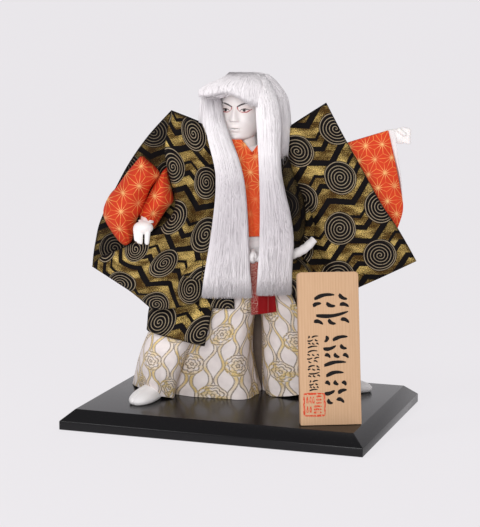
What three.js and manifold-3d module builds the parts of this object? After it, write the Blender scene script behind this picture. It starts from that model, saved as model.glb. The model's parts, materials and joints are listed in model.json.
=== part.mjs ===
// A kabuki doll in a lion-dance costume, on a lacquered plinth, with a wooden name board.
//
// Millimetres, +Z up. The origin is the middle of the plinth's underside, X runs along the
// plinth's front edge and Y towards its back. The doll stands turned on its plinth, so its
// pieces are written in its own frame: u to the doll's picture right, v away from the viewer
// and z up, in one group that is turned about Z.

import * as THREE from 'three';
import { LoftGeometry } from 'three/addons/geometries/LoftGeometry.js';
import { mergeVertices } from 'three/addons/utils/BufferGeometryUtils.js';
import Module from 'manifold-3d';

const wasm = await Module();
wasm.setup();

// Driving dimensions

const PLINTH = { width: 300, depth: 218.3, side: 8.4, chamfer: 10.2, inset: 12 };
const PLINTH_TOP = PLINTH.side + PLINTH.chamfer;
const GAP = 0.3;
const FLOOR = PLINTH_TOP + GAP;
const FACING = THREE.MathUtils.degToRad(18.81);

const BOARD = {
  width: 57,
  height: 142,
  thickness: 10,
  cornerRadius: 4,
  corner: [85.5, -89.3],
  turn: THREE.MathUtils.degToRad(24.25),
  lean: THREE.MathUtils.degToRad(12.3),
  strutWidth: 16,
  strutReach: 34,
  strutHeight: 70,
  strutTip: 5,
};

const WAIST = { z: 158, u: 6, v: 6, width: 34, depth: 25 };
const HEAD = {
  u: -5,
  v: 5,
  chin: 272,
  crown: 334,
  width: 22,
  front: 21,
  back: 23,
  turn: THREE.MathUtils.degToRad(-12),
};
const NECK = { u: 4, v: 6, radius: 9.5, bottom: 262, top: 286 };
const HAIR_END = 125;
const MANE_END = 84;
const WRIST_ROOM = 1;

// Solids from rings and cloth panels

function merged(geometry) {
  const bare = new THREE.BufferGeometry().copy(geometry);
  bare.deleteAttribute('normal');
  bare.deleteAttribute('uv');
  return mergeVertices(bare, 1e-4);
}

function skin(sections) {
  return merged(new LoftGeometry(sections, { capStart: true, capEnd: true }));
}

function manifoldOf(geometry) {
  const whole = merged(geometry);
  const mesh = new wasm.Mesh({
    numProp: 3,
    vertProperties: new Float32Array(whole.attributes.position.array),
    triVerts: new Uint32Array(whole.index.array),
  });
  return new wasm.Manifold(mesh);
}

function geometryOf(manifold) {
  const mesh = manifold.getMesh();
  const geometry = new THREE.BufferGeometry();
  geometry.setAttribute('position', new THREE.BufferAttribute(mesh.vertProperties, 3));
  geometry.setIndex(new THREE.BufferAttribute(mesh.triVerts, 1));
  return geometry;
}

function joined(...geometries) {
  return geometryOf(geometries.map(manifoldOf).reduce((all, one) => all.add(one)));
}

// Each vertex moves out along its normal, so that a piece cut with the result keeps clear.
function grown(geometry, distance) {
  const bigger = merged(geometry);
  bigger.computeVertexNormals();
  const { position, normal } = bigger.attributes;
  for (let i = 0; i < position.count; i += 1) {
    position.setXYZ(
      i,
      position.getX(i) + normal.getX(i) * distance,
      position.getY(i) + normal.getY(i) * distance,
      position.getZ(i) + normal.getZ(i) * distance,
    );
  }
  return bigger;
}

// What is left after the neighbours are taken out, without crumbs.
function fitted(geometry, neighbours, clearance = 2 * GAP) {
  const tools = neighbours.map((one) => manifoldOf(grown(one, clearance)));
  const rest = tools.reduce((body, tool) => body.subtract(tool), manifoldOf(geometry));
  const pieces = rest.decompose().sort((a, b) => b.volume() - a.volume());
  return geometryOf(pieces[0]);
}

function mix(a, b, t) {
  return a + (b - a) * t;
}

function bump(x, centre, spread) {
  return Math.exp(-(((x - centre) / spread) ** 2));
}

function smooth(t) {
  const c = THREE.MathUtils.clamp(t, 0, 1);
  return c * c * (3 - 2 * c);
}

const flat = () => 0;

// A level ring of points, counterclockwise from above. power 2 is an ellipse, more is boxier.
// ripple and rise give the share of its reach and the height to add at each angle.
function ring(form) {
  const { u, v, z, width, depth, power = 2, turn = 0, sides = 24, ripple = flat, rise = flat } = form;
  const points = [];
  for (let i = 0; i < sides; i += 1) {
    const angle = (i / sides) * 2 * Math.PI;
    const cosine = Math.cos(angle);
    const sine = Math.sin(angle);
    const reach = (Math.abs(cosine) ** power + Math.abs(sine) ** power) ** (-1 / power);
    const scale = reach * (1 + ripple(angle));
    const along = cosine * scale * width;
    const across = sine * scale * depth;
    points.push(new THREE.Vector3(
      u + along * Math.cos(turn) - across * Math.sin(turn),
      v + along * Math.sin(turn) + across * Math.cos(turn),
      z + rise(angle),
    ));
  }
  return points;
}

// Rings between the given levels, each value running smoothly from one level to the next.
function loftThrough(levels, steps) {
  const missing = { power: 2, turn: 0 };
  const keys = ['u', 'v', 'z', 'width', 'depth', 'power', 'turn'];
  const curves = Object.fromEntries(keys.map((key) => [key, new THREE.SplineCurve(
    levels.map((level, i) => new THREE.Vector2(i, level[key] ?? missing[key])),
  )]));
  const sections = [];
  for (let i = 0; i <= steps; i += 1) {
    const t = i / steps;
    const values = Object.fromEntries(keys.map((key) => [key, curves[key].getPoint(t).y]));
    const { sides, rippleAt, riseAt } = levels[0];
    sections.push(ring({ ...values, sides, ripple: rippleAt?.(t), rise: riseAt?.(t) }));
  }
  return skin(sections);
}

// A panel of cloth or hair with a front and a back: at(s, t) gives its place and thickness.
function panel(columns, rows, at) {
  const sections = [];
  for (let j = 0; j <= rows; j += 1) {
    const front = [];
    const back = [];
    for (let i = 0; i <= columns; i += 1) {
      const { u, z, v, thick } = at(i / columns, j / rows);
      front.push(new THREE.Vector3(u, v - thick / 2, z));
      back.unshift(new THREE.Vector3(u, v + thick / 2, z));
    }
    sections.push([...front, ...back]);
  }
  return skin(sections);
}

// A place in an outline given as rows of a left and a right point, each [u, z], from the bottom up.
function between(rows, s, t) {
  const place = t * (rows.length - 1);
  const lower = Math.min(Math.floor(place), rows.length - 2);
  const part = place - lower;
  const [left0, right0] = rows[lower];
  const [left1, right1] = rows[lower + 1];
  return {
    u: mix(mix(left0[0], left1[0], part), mix(right0[0], right1[0], part), s),
    z: mix(mix(left0[1], left1[1], part), mix(right0[1], right1[1], part), s),
  };
}

// The plinth and the name board

function makePlinth() {
  const corner = (x, y, z) => new THREE.Vector3(x * PLINTH.width / 2, y * PLINTH.depth / 2, z);
  const rectangle = (z, inset) => [[-1, -1], [1, -1], [1, 1], [-1, 1]].map(([x, y]) => {
    const point = corner(x, y, z);
    return point.add(new THREE.Vector3(-x * inset, -y * inset, 0));
  });
  return skin([rectangle(0, 0), rectangle(PLINTH.side, 0), rectangle(PLINTH_TOP, PLINTH.inset)]);
}

function boardOutline() {
  const { width, height, cornerRadius } = BOARD;
  const outline = new THREE.Shape();
  outline.moveTo(0, 0);
  outline.lineTo(width, 0);
  outline.lineTo(width, height - cornerRadius);
  outline.absarc(width - cornerRadius, height - cornerRadius, cornerRadius, 0, Math.PI / 2);
  outline.lineTo(cornerRadius, height);
  outline.absarc(cornerRadius, height - cornerRadius, cornerRadius, Math.PI / 2, Math.PI);
  outline.closePath();
  return outline;
}

// Side view of the strut, a wedge glued to the board's back so that the leaning board stands.
function strutOutline() {
  const { strutReach, strutHeight, strutTip, thickness, lean } = BOARD;
  const insideBack = (z) => backAt(z) - 1;
  const backAt = (z) => z * Math.tan(lean) + thickness / Math.cos(lean);
  const outline = new THREE.Shape();
  outline.moveTo(insideBack(0), 0);
  outline.lineTo(backAt(0) + strutReach, 0);
  outline.lineTo(backAt(0) + strutReach, strutTip);
  outline.lineTo(backAt(strutHeight) + strutTip, strutHeight);
  outline.lineTo(insideBack(strutHeight), strutHeight);
  outline.closePath();
  return outline;
}

// Made at the origin: width along +X, the face towards -Y, the top leaning back to +Y.
function makeBoard() {
  const { width, thickness, lean, strutWidth, height } = BOARD;
  const slab = new THREE.ExtrudeGeometry(boardOutline(), {
    depth: thickness,
    bevelEnabled: false,
    curveSegments: 4,
  });
  slab.rotateX(Math.PI / 2 - lean);
  slab.translate(0, thickness * Math.cos(lean), -thickness * Math.sin(lean));
  const strut = new THREE.ExtrudeGeometry(strutOutline(), { depth: strutWidth, bevelEnabled: false });
  const alongX = new THREE.Vector3(1, 0, 0);
  const alongY = new THREE.Vector3(0, 1, 0);
  const alongZ = new THREE.Vector3(0, 0, 1);
  strut.applyMatrix4(new THREE.Matrix4().makeBasis(alongY, alongZ, alongX));
  strut.translate((width - strutWidth) / 2, 0, 0);
  const below = new THREE.BoxGeometry(4 * width, 4 * height, height);
  below.translate(0, 0, -height / 2);
  return fitted(joined(slab, strut), [below], 0);
}

// Trousers: two wide pleated legs, a bent outer cuff and the cloth behind the gap between them.

const PLEATS = 11;
const CUFF_RISE = { height: 3, towards: 1.2 * Math.PI };

// With no pleats and few sides it is the form that the robe leaves room for.
function makeHakama(pleatDepth, sides, steps) {
  const pleats = (t) => (angle) => pleatDepth * (1 - smooth(t)) * Math.cos(PLEATS * angle);
  const rightLeg = loftThrough([
    { u: -33, v: 20, z: FLOOR, width: 41, depth: 38, power: 4, sides, rippleAt: pleats },
    { u: -28, v: 17, z: 60, width: 35, depth: 35, power: 3.5 },
    { u: -17, v: 12, z: 104, width: 28, depth: 31, power: 3 },
    { u: -2, v: 8, z: 135, width: 27, depth: 27, power: 2.5 },
    { ...WAIST, u: 2, width: 28 },
  ], steps);
  const leftLeg = loftThrough([
    { u: 67, v: 26, z: FLOOR, width: 47, depth: 30, power: 3, turn: 0.22, sides, rippleAt: pleats },
    { u: 58, v: 20, z: 60, width: 40, depth: 30, power: 3, turn: 0.12 },
    { u: 45, v: 13, z: 104, width: 29, depth: 29, power: 2.8 },
    { u: 24, v: 8, z: 135, width: 27, depth: 27, power: 2.5 },
    { ...WAIST, u: 10, width: 28 },
  ], steps);
  const cuffRise = (t) => (angle) => {
    const share = 1 - smooth(3 * t);
    return CUFF_RISE.height * share * Math.max(0, Math.cos(angle - CUFF_RISE.towards));
  };
  const cuff = loftThrough([
    { u: -94, v: 26, z: FLOOR, width: 18, depth: 42, power: 3, sides: 0.75 * sides, riseAt: cuffRise },
    { u: -83, v: 13, z: 50, width: 23, depth: 36, power: 2.6 },
    { u: -71, v: 5, z: 78, width: 25, depth: 30, power: 2.5 },
    { u: -48, v: 3, z: 116, width: 26, depth: 27, power: 2.3 },
    { u: -20, v: 5, z: 146, width: 20, depth: 23, power: 2 },
  ], steps);
  const behind = panel(1, 1, (s, t) => ({
    u: mix(-8, 34, s),
    z: mix(FLOOR, 116, t),
    v: mix(42, 30, t),
    thick: 5,
  }));
  return joined(rightLeg, leftLeg, cuff, behind);
}

// Feet in socks: the sole is flat and the instep rises to the ankle, inside the trousers.

function makeFoot({ toeU, toeV, heading }) {
  const level = (fromToe, z, width, depth) => ({
    u: toeU - fromToe * Math.cos(heading),
    v: toeV - fromToe * Math.sin(heading),
    z: FLOOR + z,
    width,
    depth,
    power: 2.2,
    turn: heading,
    sides: 12,
  });
  return loftThrough([
    level(25, 0, 24, 9.5),
    level(25, 6, 25, 11),
    level(29, 13, 20.5, 10),
    level(35, 21, 13, 8.5),
    level(38, 34, 9, 8),
  ], 6);
}

// Hands: loose fists of capsules, closed enough to leave no opening between the fingers. With
// extra they are the room that the sleeves leave for them.

function capsule(from, to, radius) {
  const start = new THREE.Vector3(...from);
  const end = new THREE.Vector3(...to);
  const shape = new THREE.CapsuleGeometry(radius, start.distanceTo(end), 1, 6);
  const turn = new THREE.Quaternion().setFromUnitVectors(
    new THREE.Vector3(0, 1, 0),
    end.clone().sub(start).normalize(),
  );
  shape.applyQuaternion(turn);
  const middle = start.add(end).multiplyScalar(0.5);
  return shape.translate(middle.x, middle.y, middle.z);
}

function ball([u, v, z], [width, depth, height]) {
  return new THREE.SphereGeometry(1, 8, 5).scale(width, depth, height).translate(u, v, z);
}

function makeRightHand(extra) {
  const fingers = [0, 1, 2].map((i) => capsule(
    [-103 + 1.5 * i, -28 + 4.5 * i, 188],
    [-101 + 1.5 * i, -30 + 4.5 * i, 178],
    3.1 + extra,
  ));
  const thumb = capsule([-90, -28, 189], [-92.5, -31, 178.5], 2.8 + extra);
  const palm = ball([-96.5, -26, 188], [9.5 + extra, 7.5 + extra, 8.5 + extra]);
  const wrist = capsule([-95.5, -23, 190], [-94, -15, 200], 5.5 + extra);
  return joined(palm, wrist, thumb, ...fingers);
}

function makeLeftHand(extra) {
  const fingers = [0, 1, 2, 3].map((i) => capsule(
    [155 + 0.5 * i, 13.5, 283 - 4 * i],
    [161 - 0.5 * i, 13, 283.5 - 4.2 * i],
    2.4 + extra,
  ));
  const thumb = capsule([150, 12, 283], [157, 10, 279], 2.4 + extra);
  const palm = ball([152, 17, 277.5], [7.5 + extra, 6 + extra, 8 + extra]);
  const wrist = capsule([149, 17, 277], [136, 15, 276], 5 + extra);
  return joined(palm, wrist, thumb, ...fingers);
}

// The head: rings from chin to crown on calm, even proportions, and a neck below. Each feature
// is a soft hill at x millimetres from the middle and at the share t of the head's height.

const FEATURES = [
  { height: 5, x: 0, width: 3.2, t: 0.4, spread: 0.09, sharpBelow: 0.36 },
  { height: 2.2, x: 0, width: 2.6, t: 0.52, spread: 0.1 },
  { height: 1.6, x: 0, width: 6, t: 0.23, spread: 0.05 },
  { height: 1.4, x: 0, width: 6, t: 0.08, spread: 0.08 },
  { height: -1.6, x: 9, width: 5, t: 0.52, spread: 0.06 },
  { height: -1.6, x: -9, width: 5, t: 0.52, spread: 0.06 },
];

function featureHeight(x, t) {
  return FEATURES.reduce((sum, one) => {
    const under = one.sharpBelow && t < one.sharpBelow;
    const cut = under ? smooth((t - one.sharpBelow + 0.06) / 0.06) : 1;
    return sum + cut * one.height * bump(x, one.x, one.width) * bump(t, one.t, one.spread);
  }, 0);
}

function headRing(t, sides, relief) {
  const height = HEAD.crown - HEAD.chin;
  const jaw = Math.sqrt(Math.sin(Math.PI * Math.min(0.5, 0.1 + 0.85 * t)));
  const dome = Math.sqrt(Math.max(0.01, 1 - Math.max(0, (t - 0.5) / 0.5) ** 2.4));
  const width = HEAD.width * jaw * dome;
  const front = HEAD.front * mix(0.82, 1, smooth(3 * t)) * dome;
  const back = HEAD.back * mix(0.25, 1, smooth(2.2 * t)) * dome;
  const points = [];
  for (let i = 0; i < sides; i += 1) {
    const angle = (i / sides) * 2 * Math.PI;
    const x = Math.cos(angle) * width;
    const facing = Math.max(0, -Math.sin(angle));
    const features = facing > 0 ? relief * featureHeight(x, t) : 0;
    const y = -facing * front - features + Math.max(0, Math.sin(angle)) * back;
    points.push(new THREE.Vector3(x, y, HEAD.chin + t * height));
  }
  return points;
}

function skull(levels, sides, relief) {
  const sections = [];
  for (let j = 0; j <= levels; j += 1) {
    sections.push(headRing(j / levels, sides, relief));
  }
  return skin(sections).rotateZ(HEAD.turn).translate(HEAD.u, HEAD.v, 0);
}

function makeNeck(extra, sides) {
  const radius = NECK.radius + extra;
  return loftThrough([
    { u: NECK.u, v: NECK.v, z: NECK.bottom - extra, width: radius + 1, depth: radius + 1, sides },
    { u: mix(NECK.u, HEAD.u, 0.5), v: NECK.v, z: NECK.top, width: radius, depth: radius },
  ], 2);
}

function makeHead() {
  return joined(skull(12, 20, 1), makeNeck(0, 10));
}

// The space that the wig and the collar leave for the head and the neck.
function makeHeadRoom() {
  return joined(grown(skull(6, 12, 0), 1.6), makeNeck(1.5, 10));
}

// The wig: a bell of hair, a fringe over the brow, two long front locks and a mane down the back.

const STRANDS = 3;

function strand(s, t, depth, wander = 0.6) {
  return depth * Math.cos(2 * Math.PI * STRANDS * s + wander * Math.sin(5 * t));
}

function makeLock(rows, place, thickness) {
  return panel(10, 5, (s, t) => {
    const round = Math.sqrt(Math.max(0, 1 - (2 * s - 1) ** 2));
    const thick = Math.max(1.2, thickness * round * mix(0.7, 1, t)) + strand(s, t, 0.8) * round;
    return { ...between(rows, s, t), v: place(s, t), thick };
  });
}

// The fringe's lower edge: level from its pointed left end, arched over the brow, lower on the right.
function fringeEdge(s) {
  return 313 + 2.5 * bump(s, 0.45, 0.2) - 6 * smooth((s - 0.55) / 0.45);
}

function makeWig() {
  const bell = loftThrough([
    { u: 1, v: 12, z: 262, width: 43, depth: 24, power: 2.2, sides: 16 },
    { u: 0, v: 8, z: 289, width: 43.5, depth: 29, power: 2.2 },
    { u: -2, v: 4, z: 314, width: 40, depth: 31, power: 2.2 },
    { u: -3, v: 4, z: 329, width: 30, depth: 25, power: 2.1 },
    { u: -3, v: 4, z: 337, width: 15, depth: 14, power: 2 },
  ], 4);
  const face = panel(4, 2, (s, t) => ({
    u: mix(mix(-31, -27, t), mix(13, 14, t), s),
    z: mix(240, 316 - 6 * (2 * s - 1) ** 2, t),
    v: -28,
    thick: 58,
  }));
  const fringe = panel(10, 3, (s, t) => ({
    u: mix(mix(-45, -30, t), mix(18, 24, t), s),
    z: mix(fringeEdge(s), 331, t),
    v: mix(-26 - 6 * Math.sin(Math.PI * s) + 15 * (1 - s) ** 3, -9, t ** 1.5),
    thick: 8 + strand(s, t, 0.6),
  }));
  const rightLock = makeLock([
    [[-40, HAIR_END], [6, HAIR_END]],
    [[-34, 152], [4, 152]],
    [[-31, 180], [2, 180]],
    [[-30, 218], [0, 218]],
    [[-32, 242], [-4, 242]],
    [[-34, 266], [-11, 266]],
    [[-34, 290], [-19, 290]],
    [[-33, 312], [-26, 312]],
  ], (s, t) => mix(-35, -13, smooth((t - 0.45) / 0.6)), 11);
  const leftLock = makeLock([
    [[13, HAIR_END], [50, HAIR_END + 5]],
    [[13, 152], [47, 154]],
    [[13, 180], [44, 180]],
    [[14, 218], [41, 218]],
    [[15, 256], [38, 256]],
    [[14, 290], [36, 290]],
    [[13, 314], [30, 314]],
    [[13, 326], [24, 330]],
  ], (s, t) => mix(-35, -15, smooth((t - 0.5) / 0.55)) + 4 * s * s, 11);
  const mane = panel(7, 4, (s, t) => ({
    ...between([
      [[-26, MANE_END], [34, MANE_END]],
      [[-37, 140], [45, 140]],
      [[-39, 195], [46, 195]],
      [[-39, 250], [43, 250]],
      [[-34, 302], [33, 302]],
    ], s, t),
    v: mix(60, 24, t ** 4) - 8 * (2 * s - 1) ** 2,
    thick: mix(4, 15, Math.sin(Math.PI * s)) + strand(s, t, 0.8),
  }));
  const cap = fitted(bell, [face], 0);
  return joined(cap, fringe, rightLock, leftLock, mane);
}

// The orange under-robe: a chest panel and the two puffed inner sleeves.

function makeUnderRobe() {
  return panel(4, 4, (s, t) => ({
    ...between([[[-14, 182], [26, 182]], [[-15, 225], [27, 225]], [[-12, 262], [24, 262]]], s, t),
    v: mix(-17, -11, smooth(t)) + 5 * (2 * s - 1) ** 2,
    thick: 8,
  }));
}

// The right inner sleeve puffs out in two lobes with a deep fold between them.
const OUTER_LOBE = [
  [[-119, 171], [-110, 173]],
  [[-123, 177], [-103, 183]],
  [[-133, 192], [-97, 195]],
  [[-136, 204], [-91, 206]],
  [[-131, 218], [-86, 217]],
  [[-123, 228], [-82, 227]],
  [[-112, 242], [-79, 236]],
  [[-105, 250], [-81, 242]],
  [[-100, 258], [-96, 257]],
];

const INNER_LOBE = [
  [[-101, 191], [-87, 185]],
  [[-105, 201], [-75, 204]],
  [[-101, 213], [-68, 213]],
  [[-96, 223], [-67, 223]],
  [[-90, 234], [-70, 235]],
  [[-80, 243], [-73, 246]],
];

const LEFT_UNDER_SLEEVE = [
  [[138, 185], [149, 183]],
  [[122, 204], [155, 203]],
  [[110, 228], [152, 228]],
  [[98, 250], [148, 252]],
  [[90, 266], [143, 281]],
];

function makeRightUnderSleeve() {
  const lobe = (rows, count, depth) => panel(5, count, (s, t) => {
    const belly = Math.sin(Math.PI * s) ** 0.6 * Math.sin(Math.PI * mix(0.08, 0.94, t)) ** 0.8;
    const front = -3 - depth * belly;
    const back = 0.5;
    return { ...between(rows, s, t), v: (front + back) / 2, thick: back - front };
  });
  return joined(lobe(OUTER_LOBE, 7, 24), lobe(INNER_LOBE, 4, 23));
}

function makeLeftUnderSleeve() {
  return panel(9, 4, (s, t) => {
    const belly = Math.sin(Math.PI * mix(0.08, 0.92, s)) ** 0.6;
    const fold = 1.2 * Math.cos(2 * Math.PI * (2.2 * s + 0.4 * t));
    const thick = 3 + 13 * belly * mix(0.6, 1, Math.sin(Math.PI * t)) - fold * belly;
    return { ...between(LEFT_UNDER_SLEEVE, s, t), v: 10, thick };
  });
}

// The white inner collar round the neck, high behind and low below the throat.

function makeCollar() {
  const dip = (front, back) => (angle) => mix(back, -front, 0.5 - 0.5 * Math.sin(angle));
  const levels = [[258, 17, 15, 2, 2], [268, 15.5, 13.5, 5, 4], [276, 12.5, 11.5, 12, 6]];
  return skin(levels.map(([z, width, depth, front, back]) => ring({
    u: NECK.u + 1,
    v: NECK.v,
    z,
    width,
    depth,
    sides: 16,
    rise: dip(front, back),
  })));
}

// The white waist band shows between the robe's edges, and the padded cord crosses it.

function makeObi() {
  return panel(6, 1, (s, t) => ({
    u: mix(-26, 36, s),
    z: mix(156, 181, t),
    v: -16 + 6 * (2 * s - 1) ** 2,
    thick: 5,
  }));
}

// Each point of the cord's middle line and its radius there.
const CORD_ROUTE = [
  [-42, -14, 171, 3.8], [-32, -19, 169, 4], [-18, -23, 165, 4], [-4, -24.5, 163, 4],
  [8, -25, 162, 4], [18, -24.5, 161, 4], [30, -23, 161, 4.2], [41, -20, 163, 4.7],
  [50, -17, 165, 5], [59, -14, 169.5, 5.2], [67.5, -11, 177.5, 5.4],
];
const CORD_STEPS = 13;
const CORD_SIDES = 6;

function makeWaistCord() {
  const middle = new THREE.CatmullRomCurve3(CORD_ROUTE.map(([u, v, z]) => new THREE.Vector3(u, v, z)));
  const radii = new THREE.SplineCurve(CORD_ROUTE.map(([, , , r], i) => new THREE.Vector2(i, r)));
  const { normals, binormals } = middle.computeFrenetFrames(CORD_STEPS);
  const sections = normals.map((normal, i) => {
    const centre = middle.getPointAt(i / CORD_STEPS);
    const radius = radii.getPoint(middle.getUtoTmapping(i / CORD_STEPS)).y;
    return Array.from({ length: CORD_SIDES }, (_, k) => {
      const angle = (k / CORD_SIDES) * 2 * Math.PI;
      const point = centre.clone().addScaledVector(normal, radius * Math.cos(angle));
      return point.addScaledVector(binormals[i], radius * Math.sin(angle));
    });
  });
  return joined(skin(sections), ball([8, -29, 163], [4, 4.5, 5.5]));
}

function makeRedPanel() {
  return panel(5, 3, (s, t) => ({
    u: mix(mix(7, 9, t), mix(31, 27, t), s),
    z: mix(mix(106, 109, s), 157.5, t),
    v: -25.5 + 0.5 * Math.sin(9 * s),
    thick: 1.6,
  }));
}

// The kimono: a body, two wide stiff sleeves of a back and a front layer, and a split skirt.

const RIGHT_BODY_EDGE = [
  [-90, 112], [-68, 114], [-46, 120], [-33, 138], [-28, 165],
  [-28, 200], [-28, 238], [-30, 262], [-35, 287],
];
const RIGHT_BACK_EDGE = [
  [-148, 150], [-147, 160], [-145, 172], [-141, 190], [-133, 209],
  [-124, 227], [-110, 252], [-92, 277], [-70, 301],
];
const RIGHT_MOUTH_EDGE = [
  [-148, 150], [-139, 160], [-114, 171], [-86, 186], [-69, 203],
  [-67, 220], [-74, 247], [-76, 268], [-70, 301],
];
const LEFT_BODY_EDGE = [
  [72, 116], [58, 135], [48, 160], [44, 190], [42, 220], [40, 252], [40, 283],
];
const LEFT_MOUTH_EDGE = [
  [168, 154], [158, 172], [147, 190], [131, 214], [112, 248], [97, 274], [79, 308],
];

function rowsBetween(left, right) {
  return left.map((point, i) => [point, right[i]]);
}

function makeRightSleeve() {
  const back = panel(2, 8, (s, t) => ({
    ...between(rowsBetween(RIGHT_BACK_EDGE, RIGHT_BODY_EDGE), s, t),
    v: 4,
    thick: 5,
  }));
  const front = panel(5, 8, (s, t) => {
    const belly = Math.sin(Math.PI * mix(0.02, 0.97, t)) ** 0.5;
    const wave = 1.5 * Math.sin(2 * Math.PI * (1.5 * s + t)) * belly;
    const face = -2 - 17 * belly * mix(0.85, 1, Math.sin(Math.PI * s)) + wave;
    const back = 3;
    const place = between(rowsBetween(RIGHT_MOUTH_EDGE, RIGHT_BODY_EDGE), s, t);
    return { ...place, v: (face + back) / 2, thick: back - face };
  });
  return joined(back, front);
}

function makeLeftSleeve() {
  return panel(6, 5, (s, t) => {
    const bulge = Math.sin(Math.PI * mix(0.04, 0.96, t)) ** 0.5;
    const belly = bulge * mix(0.75, 1, Math.sin(Math.PI * s));
    const wave = 1.4 * Math.sin(2 * Math.PI * (1.3 * s - 0.8 * t));
    const face = 4 - 13 * belly + wave * belly;
    const back = 7 + 11 * belly;
    const place = between(rowsBetween(LEFT_BODY_EDGE, LEFT_MOUTH_EDGE), s, t);
    return { ...place, v: (face + back) / 2, thick: back - face };
  });
}

function makeBody() {
  return loftThrough([
    { u: 7, v: 11, z: 159, width: 42, depth: 29, power: 2.4, sides: 16 },
    { u: 6, v: 10, z: 200, width: 46, depth: 26, power: 2.4 },
    { u: 4, v: 10, z: 248, width: 45, depth: 22, power: 2.4 },
    { u: 4, v: 9, z: 262, width: 36, depth: 17, power: 2.3 },
    { u: 4, v: 8, z: 270.5, width: 21, depth: 13, power: 2 },
  ], 4);
}

function makeSkirt() {
  const shell = (less) => loftThrough([
    { u: 5, v: 10, z: 84 - less, width: 99 - less, depth: 40 - less, power: 2.6, sides: 16 },
    { u: 5, v: 9, z: 112, width: 93 - less, depth: 37 - less, power: 2.5 },
    { u: 6, v: 9, z: 140, width: 66 - less, depth: 33 - less, power: 2.4 },
    { u: 6, v: 10, z: 165 + 0.4 * less, width: 44 - less, depth: 29 - less, power: 2.3 },
  ], 3);
  const window = new THREE.BoxGeometry(96, 60, 80).translate(8, -32, 116);
  return fitted(shell(0), [shell(5), window], 0);
}

function makeFlaps() {
  const right = panel(5, 3, (s, t) => ({
    ...between([
      [[-94, 89], [-38, 76]],
      [[-92, 112], [-31, 110]],
      [[-78, 134], [-28, 132]],
      [[-52, 156], [-24, 156]],
    ], s, t),
    v: mix(-31.5, -24, t) + 12 * (1 - s) ** 3 - 1.2 * Math.sin(3 * Math.PI * s),
    thick: 4,
  }));
  const inner = panel(2, 1, (s, t) => ({
    ...between([[[-44, 113], [-9, 112]], [[-40, 156], [-14, 156]]], s, t),
    v: mix(-25, -21, t),
    thick: 3,
  }));
  const left = panel(4, 3, (s, t) => ({
    ...between([
      [[62, 82], [100, 90]],
      [[52, 114], [96, 116]],
      [[45, 136], [72, 136]],
      [[38, 156], [52, 156]],
    ], s, t),
    v: mix(-27, -20, t) + 12 * s ** 3,
    thick: 4,
  }));
  return [right, inner, left];
}

// Assembly: each piece gives way to those it is worn over.

const feet = {
  right: makeFoot({ toeU: -107, toeV: -39, heading: THREE.MathUtils.degToRad(-112) }),
  left: makeFoot({ toeU: 128, toeV: 22, heading: THREE.MathUtils.degToRad(-10) }),
};
const head = makeHead();
const headRoom = makeHeadRoom();
const rightHand = makeRightHand(0);
const leftHand = makeLeftHand(0);
const hakama = fitted(makeHakama(0.03, 24, 4), [feet.right, feet.left]);
const hakamaRoom = grown(makeHakama(0, 16, 3), 3);
const collar = makeCollar();
const redPanel = makeRedPanel();
const waistCord = makeWaistCord();
const obi = makeObi();
const underRobe = makeUnderRobe();
const rightUnderSleeve = makeRightUnderSleeve();
const leftUnderSleeve = makeLeftUnderSleeve();
const rightCuff = fitted(rightUnderSleeve, [makeRightHand(WRIST_ROOM)], 0);
const leftCuff = fitted(leftUnderSleeve, [makeLeftHand(WRIST_ROOM)], 0);
const robeForms = [makeBody(), makeRightSleeve(), makeLeftSleeve(), makeSkirt(), ...makeFlaps()];
const kimono = fitted(joined(...robeForms), [
  hakamaRoom,
  makeNeck(1.5, 10),
  collar,
  underRobe,
  obi,
  waistCord,
  redPanel,
  makeRightHand(WRIST_ROOM),
  rightUnderSleeve,
  leftUnderSleeve,
]);
const wig = fitted(makeWig(), [headRoom, collar, underRobe, ...robeForms]);

const LACQUER = { color: 0x17151a, roughness: 0.35, metalness: 0 };
const WOOD = { color: 0xd9b48a, roughness: 0.7, metalness: 0 };
const SHELL_WHITE = { color: 0xf4efec, roughness: 0.45, metalness: 0 };
const WHITE_CLOTH = { color: 0xefe9e4, roughness: 0.85, metalness: 0 };
const SILK_HAIR = { color: 0xe9e4ea, roughness: 0.5, metalness: 0 };
const BROCADE = { color: 0x8a6c28, roughness: 0.45, metalness: 0.35 };
const ORANGE_CLOTH = { color: 0xe6481f, roughness: 0.75, metalness: 0 };
const GOLD_FIGURED_WHITE = { color: 0xe3dccb, roughness: 0.75, metalness: 0 };
const RED_SATIN = { color: 0xb00c16, roughness: 0.4, metalness: 0 };

const model = new THREE.Group();
const doll = new THREE.Group();
doll.rotation.z = FACING;
model.add(doll);

function place(group, name, geometry, finish) {
  const mesh = new THREE.Mesh(geometry, new THREE.MeshStandardMaterial(finish));
  mesh.name = name;
  group.add(mesh);
  return mesh;
}

place(model, 'plinth', makePlinth(), LACQUER);
const board = place(model, 'name_board', makeBoard(), WOOD);
board.position.set(BOARD.corner[0], BOARD.corner[1], FLOOR);
board.rotation.z = BOARD.turn;

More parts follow.
